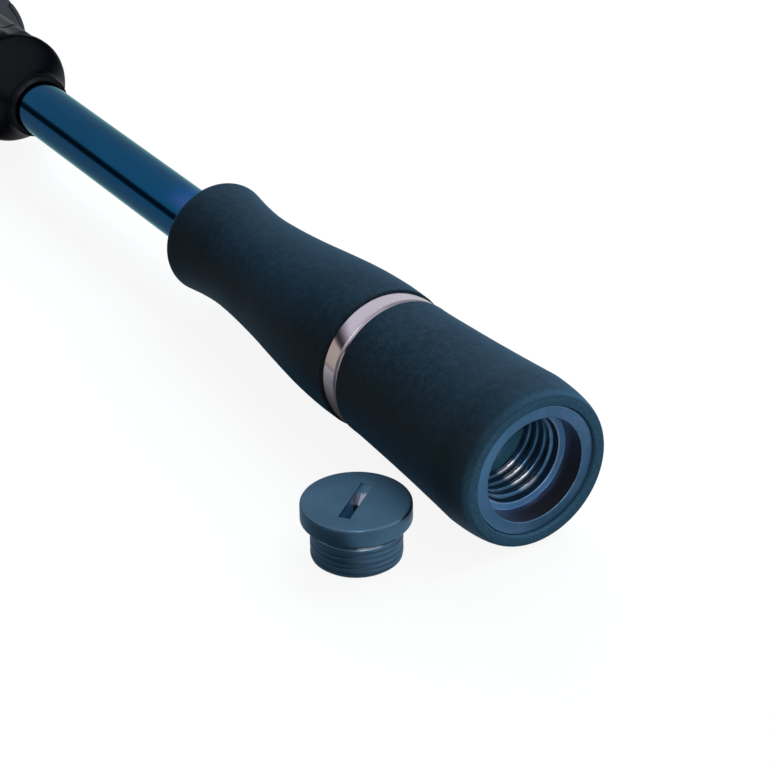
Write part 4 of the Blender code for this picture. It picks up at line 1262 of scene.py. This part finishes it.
class Guide:
    """The measures that a guide's frame, ring insert and windings share."""

    def __init__(self, blank, lean, distance, diameter, height, feet):
        self.lean = lean
        self.root = distance * MM
        self.diameter = diameter * MM
        self.height = height * MM
        self.large = feet == 2
        self.blank_r = blank_radius(blank, self.root - 16.0 * MM)
        self.centre = Vector((self.root + self.height * math.tan(lean), -self.blank_r - self.height, 0.0))
        self.wire_r = (0.42 + 0.022 * diameter) * MM
        self.foot_width = 2.6 * self.wire_r
        self.foot_thickness = 1.2 * self.wire_r
        self.foot_length = (7.0 + 0.35 * diameter) * MM

    def leaning(self, bm):
        matrix = Matrix.Translation(self.centre) @ Matrix.Rotation(self.lean, 4, "Z")
        bmesh.ops.transform(bm, verts=bm.verts, matrix=matrix)
        return bm

    def ring_point(self, radius, angle):
        outward = Vector((math.sin(self.lean), -math.cos(self.lean), 0.0))
        return self.centre + radius * (-math.cos(angle) * outward + math.sin(angle) * Vector((0, 0, 1)))

    def rings(self, sides):
        outer = 0.5 * self.diameter + 0.4 * MM + 0.02 * self.diameter
        inner = 0.5 * self.diameter
        half = 0.5 * MM + 0.025 * self.diameter
        frame_ring = eased([(-half, inner), (-half, outer, 0.18 * MM), (half, outer, 0.18 * MM), (half, inner)])
        thickness = 0.55 * MM + 0.06 * self.diameter
        insert_r = inner - 0.06 * MM
        bulge = half + 0.15 * MM
        lip = [(bulge * math.cos(t), insert_r - 0.25 * thickness - 0.75 * thickness * math.sin(t))
               for t in (math.pi * k / 16 for k in range(17))]
        insert = [(-half, insert_r), (half, insert_r), *lip]
        return self.leaning(turned(frame_ring, sides)), self.leaning(turned(insert, sides))

    def leg(self, root, direction, base_r, side_step, end, radius):
        saddle = -base_r - TRIM_GAP - radius
        start, bend_start, corner = (Vector((root - direction * forward, saddle, side_step))
                                     for forward in (-0.25 * MM, 0.35 * MM, 1.5 * MM))
        return swept([start, *bend(bend_start, corner, end, 14)], radius, 14)

    def winding(self, root, direction, base_r):
        """Thread and resin wound over a foot: a thin sleeve raised over the foot, with a tunnel for it."""
        half = 0.5 * self.foot_width
        top = base_r + TRIM_GAP + self.foot_thickness
        tunnel_r = math.hypot(top, 0.62 * half) + TRIM_GAP
        edge = math.atan2(half + TRIM_GAP, base_r) + math.radians(2)
        inner_r = base_r + TRIM_GAP
        wall = 0.35 * MM

        def share(angle, width):
            return soft_drop(from_reel_side(angle) - edge, width)

        def raised(amount, skin):
            return lambda angle: inner_r + skin + share(angle, math.radians(45)) * (tunnel_r - inner_r) * amount

        def tunnel(amount):
            return lambda angle: inner_r + (tunnel_r - inner_r) * amount * (1.0 if share(angle, 0.04) > 0.99 else 0.0)
        start, end = 0.6 * MM, self.foot_length + 2.2 * MM
        outside = [(start, raised(1.0, 0.55 * wall)), (start + 0.25 * MM, raised(1.0, 0.9 * wall))]
        for step in range(9):
            t = step / 8
            along = start + 0.6 * MM + t * (end - start - 0.9 * MM)
            outside.append((along, raised(1.0 - t ** 1.6, wall * (1.0 - 0.45 * t ** 3))))
        outside.append((end, raised(0.0, 0.2 * wall)))
        inside = [(start, tunnel(1.0)), (self.foot_length + 0.3 * MM, tunnel(0.45)), (end, tunnel(0.0))]
        return sleeve(carried(outside, root, direction), carried(inside, root, direction), even_angles(56))


def make_guides(blank, guides):
    for number, measures in enumerate(GUIDES, start=1):
        guide = Guide(blank, guides.lean, *measures)
        frame_ring, insert = guide.rings(guides.ring_sides)
        side_r = 0.8 * guide.wire_r
        forms = [frame_ring, foot_form(guide.root, -1, guide.blank_r, guide.foot_width, guide.foot_thickness,
                                       guide.foot_length)]
        for side in (-1, 1):
            end = guide.ring_point(0.5 * guide.diameter + side_r + 0.05 * MM, side * math.radians(60))
            forms.append(guide.leg(guide.root, -1, guide.blank_r, side * 1.08 * side_r, end, side_r))
        roots = [("", guide.root, -1, guide.blank_r)]
        if guide.large:
            front_root = guide.centre.x + 0.16 * guide.height
            front_r = blank_radius(blank, front_root)
            forms.append(foot_form(front_root, 1, front_r, guide.foot_width, guide.foot_thickness,
                                   guide.foot_length))
            end = guide.ring_point(0.5 * guide.diameter + 0.5 * MM, 0.0)
            forms.append(guide.leg(front_root, 1, front_r, 0.0, end, guide.wire_r))
            roots = [("_rear", guide.root, -1, guide.blank_r), ("_front", front_root, 1, front_r)]
        finished(f"guide_{number}_wires", gathered(forms), "reel", f"guide_{number}_frame", sharp=45.0, recalc=False)
        finished(f"guide_{number}_insert", insert, "reel", f"guide_{number}_ring")
        for suffix, place, direction, base_r in roots:
            finished(f"guide_{number}_whipping{suffix}", guide.winding(place, direction, base_r), "reel",
                     f"guide_{number}_winding{suffix}", sharp=50.0)


def make_tip_top(blank, guides):
    """The tip's guide: a tube over the end of the blank, two legs and a ring."""
    distance, drop = 2436.0, 4.6
    top = Guide(blank, guides.lean, distance, guides.tip_ring / MM, drop, 1)
    top.centre = Vector((distance * MM, -drop * MM, 0.0))
    bore = blank.tip_radius + TRIM_GAP
    wall = 0.45 * MM
    tube_start, tube_end = blank.tip - 9.0 * MM, blank.tip + 0.8 * MM
    tube = eased([
        (blank.tip + GAP, 0.0), (blank.tip + GAP, bore), (tube_start, bore), (tube_start, bore + wall, 0.1 * MM),
        (tube_end - 0.1 * MM, bore + wall, 0.3 * MM), (tube_end, 0.0),
    ])
    frame_ring, insert = top.rings(guides.ring_sides)
    forms = [frame_ring, turned(tube, 40)]
    leg_r = 0.42 * MM
    for side in (-1, 1):
        start = Vector((blank.tip - 5.0 * MM, -bore - 0.2 * MM, side * 0.4 * MM))
        corner = Vector((blank.tip - 1.5 * MM, -bore - 1.0 * MM, side * 0.9 * MM))
        end = top.ring_point(0.5 * guides.tip_ring + leg_r + 0.05 * MM, side * math.radians(52))
        forms.append(swept(bend(start, corner, end, 14), leg_r, 14))
    finished("tip_top_wires", gathered(forms), "reel", "tip_top_frame", sharp=45.0, recalc=False)
    finished("tip_top_insert", insert, "reel", "tip_top_ring")
    start, end = tube_start - 8.0 * MM, tube_start - 0.2 * MM
    inner = blank_radius(blank, start) + TRIM_GAP
    wound = eased([
        (start, inner), (start, inner + 0.15 * MM, 0.05 * MM), (start + 1.5 * MM, inner + 0.35 * MM, 0.8 * MM),
        (end, inner + 0.4 * MM, 0.15 * MM), (end, inner),
    ])
    finished("tip_top_whipping", turned(wound, 48), "rod", "tip_top_winding")


# Studio

def stage_object(name, bm, material):
    obj = scratch_object(name, bm)
    obj.data.materials.append(material)
    return obj


def glowing(name, colour):
    """A stage material without gloss, its graph and its shader's sockets. What it glows with is fed later."""
    material = new_material(name)
    graph = Graph(material.node_tree)
    sockets = graph.tree.nodes["Principled BSDF"].inputs
    sockets["Base Color"].default_value = (*colour, 1.0)
    sockets["Specular IOR Level"].default_value = 0.0
    sockets["Emission Strength"].default_value = 1.0
    return material, graph, sockets


def make_floor(studio):
    """A pale floor, white to the camera. Mirror finishes see it darker in patches by the rod and the plug, which are
    painted shade, with a painted contact shadow along the rod, and painted far darker from 0.12 m to 0.20 m left of
    the rod outwards. The patches were fitted to the photograph's reflections.
    """
    bm = bmesh.new()
    bmesh.ops.create_grid(bm, x_segments=1, y_segments=1, size=9.0)
    material, graph, sockets = glowing("studio_floor", studio.floor)
    sockets["Roughness"].default_value = 0.9
    floor_x, floor_y, _ = graph.axes(graph.on_object())
    butt = PLACES["rod"].translation
    left = floor_y - butt.y
    before = floor_x * -1.0 + butt.x
    # Painted shade: open_floor is 1 where mirror finishes see the floor bright, lower in painted patches by the rod
    # and the plug.
    ahead = (before * -1.0).ramp(0.055, 0.10)
    open_floor = (left - 12.0 * MM).size().ramp(0.02, 0.12).apply("MAXIMUM", before.ramp(0.0, 0.03))
    open_floor = open_floor.apply("MAXIMUM", ahead) * (1.0 - 0.33 * ahead)
    plug = PLACES["plug"].translation
    x, y = floor_x - plug.x, floor_y - plug.y
    near_plug = x.hypotenuse(y).fade(0.026, 0.038)
    open_floor = open_floor.apply("MAXIMUM", near_plug * (x * -0.89 - y * 0.46).ramp(0.002, 0.013))
    open_floor = open_floor.apply("MAXIMUM", near_plug * 0.12 * (x * 0.74 + y * 0.68).ramp(0.007, 0.018))
    open_floor = open_floor - near_plug * 0.42 * (y * 0.86 - x * 0.50).ramp(0.006, 0.018)
    # Painted shadow: a contact shadow along the rod, seen only by mirror finishes.
    painted_contact_shadow = (left - 4.0 * MM).size().fade(0.006, 0.022) * (before * -1.0).ramp(0.020, 0.040)
    painted_contact_shadow = painted_contact_shadow * (1.0 - ahead)
    # Painted shade: mirror finishes see the floor far darker from 0.12 m to 0.20 m left of the rod outwards.
    edge = left.ramp(0.12, 0.20)
    direct, glossy = graph.rays()
    mirrored = glossy * (1.0 - direct)
    far = floor_y.size().ramp(0.25, 1.0).apply("MAXIMUM", floor_x.size().ramp(1.5, 2.2))
    seen = direct * (studio.glow + (1.0 - studio.glow) * far)
    strength = seen + mirrored * studio.glow * (0.30 + 0.70 * open_floor) * (1.0 - 0.93 * edge)
    strength = strength * (1.0 - 0.80 * painted_contact_shadow * (1.0 - direct))
    graph.feed(sockets["Emission Color"], graph.tint(strength, (0.0, 0.0, 0.0), (1.0, 1.0, 1.0)))
    stage_object("studio_floor", bm, material)


def make_card():
    """A small dark and beige card beside the handle, which only mirror finishes show: a painted reflection in the
    band, whose beige and lighter top glow though the card is no lamp.
    """
    reach, half = 58.0 * MM, 26.0 * MM
    away = Vector((math.cos(math.radians(40)), math.sin(math.radians(40)), 0.0))
    across = Vector((-away.y, away.x, 0.0))
    foot = PLACES["rod"] @ Vector((40.0 * MM, 0.0, 0.0)) + reach * away
    bm = bmesh.new()
    corners = [Vector((*(foot + side * half * across).xy, z)) for side, z in (
        (-1, 5.0 * MM), (1, 5.0 * MM), (1, 54.0 * MM), (-1, 54.0 * MM))]
    bm.faces.new([bm.verts.new(corner) for corner in corners])
    material, graph, sockets = glowing("studio_card", (0.0, 0.0, 0.0))
    height = graph.axes(graph.on_object())[2]
    beige = height.between(5.6 * MM, 7.5 * MM, 31.0 * MM, 34.0 * MM)
    dark = graph.tint(height.ramp(39.0 * MM, 54.0 * MM), (0.04, 0.03, 0.04), (0.72, 0.66, 0.72))
    graph.feed(sockets["Emission Color"], graph.tint(beige, dark, (0.80, 0.70, 0.56)))
    card = stage_object("studio_card", bm, material)
    for kind in ("camera", "diffuse", "shadow"):
        setattr(card, "visible_" + kind, False)


def make_world(studio):
    """A white surround with a darker gap a little above the horizon, as between a softbox and the floor."""
    world = bpy.data.worlds.new("studio_surround")
    world.use_nodes = True
    bpy.context.scene.world = world
    graph = Graph(world.node_tree)
    background = graph.tree.nodes["Background"]
    direct, glossy = graph.rays()
    _, sideways, upwards = graph.axes(graph.node("ShaderNodeTexCoord", {}, {}, "Generated"))
    gap = upwards.fade(0.15, 0.26) * sideways.ramp(-0.15, 0.15)
    reflected = 1.0 - gap * 0.94
    level = direct + (1.0 - direct) * (glossy * reflected + (1.0 - glossy) * studio.fill)
    graph.feed(background.inputs["Strength"], level)
    background.inputs["Color"].default_value = (1.0, 1.0, 1.0, 1.0)


def make_lamp(name, place, target, width, length, power):
    data = bpy.data.lights.new(name, "AREA")
    data.shape = "RECTANGLE"
    data.size = length
    data.size_y = width
    data.energy = power
    lamp = added(name, data)
    place, target = Vector(place), Vector(target)
    away = (place - target).normalized()
    along = Vector((1, 0, 0))
    across = away.cross(along).normalized()
    along = across.cross(away)
    lamp.matrix_world = Matrix.Translation(place) @ turn_to(along, across, away)
    return lamp


def make_camera():
    """The photographer's place, in the rod's own frame: behind the butt, to its left and above it."""
    pitch, yaw, roll = math.radians(29.588), math.radians(-32.839), math.radians(-0.687)
    ahead = Vector((math.cos(yaw) * math.cos(pitch), math.sin(yaw) * math.cos(pitch), -math.sin(pitch)))
    right = ahead.cross(Vector((0, 0, 1))).normalized()
    up = right.cross(ahead)
    tilted_right = math.cos(roll) * right + math.sin(roll) * up
    tilted_up = -math.sin(roll) * right + math.cos(roll) * up
    turn = turn_to(tilted_right, tilted_up, -ahead)
    stand = Vector((-286.18, 212.15, 217.35)) * MM
    data = bpy.data.cameras.new("photo_camera")
    data.sensor_width = 36.0
    data.lens = 126.234
    data.clip_start = 0.01
    data.clip_end = 40.0
    camera = added("photo_camera", data)
    camera.matrix_world = PLACES["rod"] @ Matrix.Translation(stand) @ turn
    bpy.context.scene.camera = camera


# Operators

class EGING_OT_studio(bpy.types.Operator):
    """Make the camera, the floor, the lamps and the surround"""
    bl_idname = "eging.studio"
    bl_label = "Studio"

    def execute(self, context):
        studio = settings(context, "studio")
        butt = PLACES["rod"].translation
        make_camera()
        make_floor(studio)
        make_world(studio)
        make_card()
        overhead = make_lamp("overhead_softbox", (0.0, -0.75, 1.0), (0.0, 0.0, 0.0), 0.9, 3.2, studio.key_power)
        overhead.visible_glossy = False
        overhead.data.color = (0.80, 1.0, 1.14)
        make_lamp("butt_softbox", butt + Vector((-0.57, -0.07, 1.04)), butt, 0.35, 0.35, studio.side_power)
        make_lamp("low_glint", butt + Vector((-0.38, -0.46, 0.09)), butt, 0.08, 0.08, studio.glint_power)
        make_lamp("front_softbox", butt + Vector((-0.60, 0.33, 0.42)), butt, 0.25, 0.25, studio.front_power)
        context.scene.view_settings.view_transform = "Standard"
        return {"FINISHED"}


class EGING_OT_finishes(bpy.types.Operator):
    """Write the materials"""
    bl_idname = "eging.finishes"
    bl_label = "Finishes"

    def execute(self, context):
        make_finishes(settings(context, "finishes"))
        return {"FINISHED"}


class EGING_OT_cup(bpy.types.Operator):
    """Turn the butt cup with its counterbore, ledge and screw thread"""
    bl_idname = "eging.cup"
    bl_label = "Butt cup"

    def execute(self, context):
        make_cup(settings(context, "butt"), settings(context, "handle").sides)
        return {"FINISHED"}


class EGING_OT_plug(bpy.types.Operator):
    """Turn the slotted screw plug and its seal ring"""
    bl_idname = "eging.plug"
    bl_label = "Plug and seal"

    def execute(self, context):
        make_plug(settings(context, "plug"), settings(context, "handle").sides)
        return {"FINISHED"}


class EGING_OT_grips(bpy.types.Operator):
    """Shape both foam grips and turn the band between them"""
    bl_idname = "eging.grips"
    bl_label = "Grips and band"

    def execute(self, context):
        make_grips(settings(context, "handle"), settings(context, "butt"), settings(context, "blank"))
        return {"FINISHED"}


class EGING_OT_blanks(bpy.types.Operator):
    """Make both blanks and the winding over their joint"""
    bl_idname = "eging.blanks"
    bl_label = "Blanks"

    def execute(self, context):
        make_blanks(settings(context, "blank"), settings(context, "butt"))
        return {"FINISHED"}


class EGING_OT_seat(bpy.types.Operator):
    """Make the reel seat with its hoods, lock nut, arbors and trim"""
    bl_idname = "eging.seat"
    bl_label = "Reel seat"

    def execute(self, context):
        make_seat(settings(context, "seat"), settings(context, "blank"))
        return {"FINISHED"}


class EGING_OT_guides(bpy.types.Operator):
    """Make the eight line guides and the tip top with their windings"""
    bl_idname = "eging.guides"
    bl_label = "Line guides"

    def execute(self, context):
        make_guides(settings(context, "blank"), settings(context, "guides"))
        make_tip_top(settings(context, "blank"), settings(context, "guides"))
        return {"FINISHED"}


STEPS = (EGING_OT_studio, EGING_OT_finishes, EGING_OT_cup, EGING_OT_plug, EGING_OT_grips, EGING_OT_blanks,
         EGING_OT_seat, EGING_OT_guides)


class EGING_PT_rod(bpy.types.Panel):
    bl_idname = "EGING_PT_rod"
    bl_label = "Eging rod"
    bl_space_type = "VIEW_3D"
    bl_region_type = "UI"
    bl_category = "Eging rod"

    def draw(self, context):
        for step in STEPS:
            self.layout.operator(step.bl_idname)
        for group in SETTINGS:
            box = self.layout.box()
            box.label(text=group_name(group).capitalize())
            values = settings(context, group_name(group))
            for name in group.__annotations__:
                box.prop(values, name)


def register():
    for group in SETTINGS:
        bpy.utils.register_class(group)
        setattr(bpy.types.Scene, "eging_" + group_name(group), PointerProperty(type=group))
    for step in (*STEPS, EGING_PT_rod):
        bpy.utils.register_class(step)


def unregister():
    for step in (EGING_PT_rod, *reversed(STEPS)):
        bpy.utils.unregister_class(step)
    for group in reversed(SETTINGS):
        delattr(bpy.types.Scene, "eging_" + group_name(group))
        bpy.utils.unregister_class(group)


def main():
    register()
    for make in (bpy.ops.eging.studio, bpy.ops.eging.finishes, bpy.ops.eging.cup, bpy.ops.eging.plug,
                 bpy.ops.eging.grips, bpy.ops.eging.blanks, bpy.ops.eging.seat, bpy.ops.eging.guides):
        make()


if __name__ == "__main__":
    main()
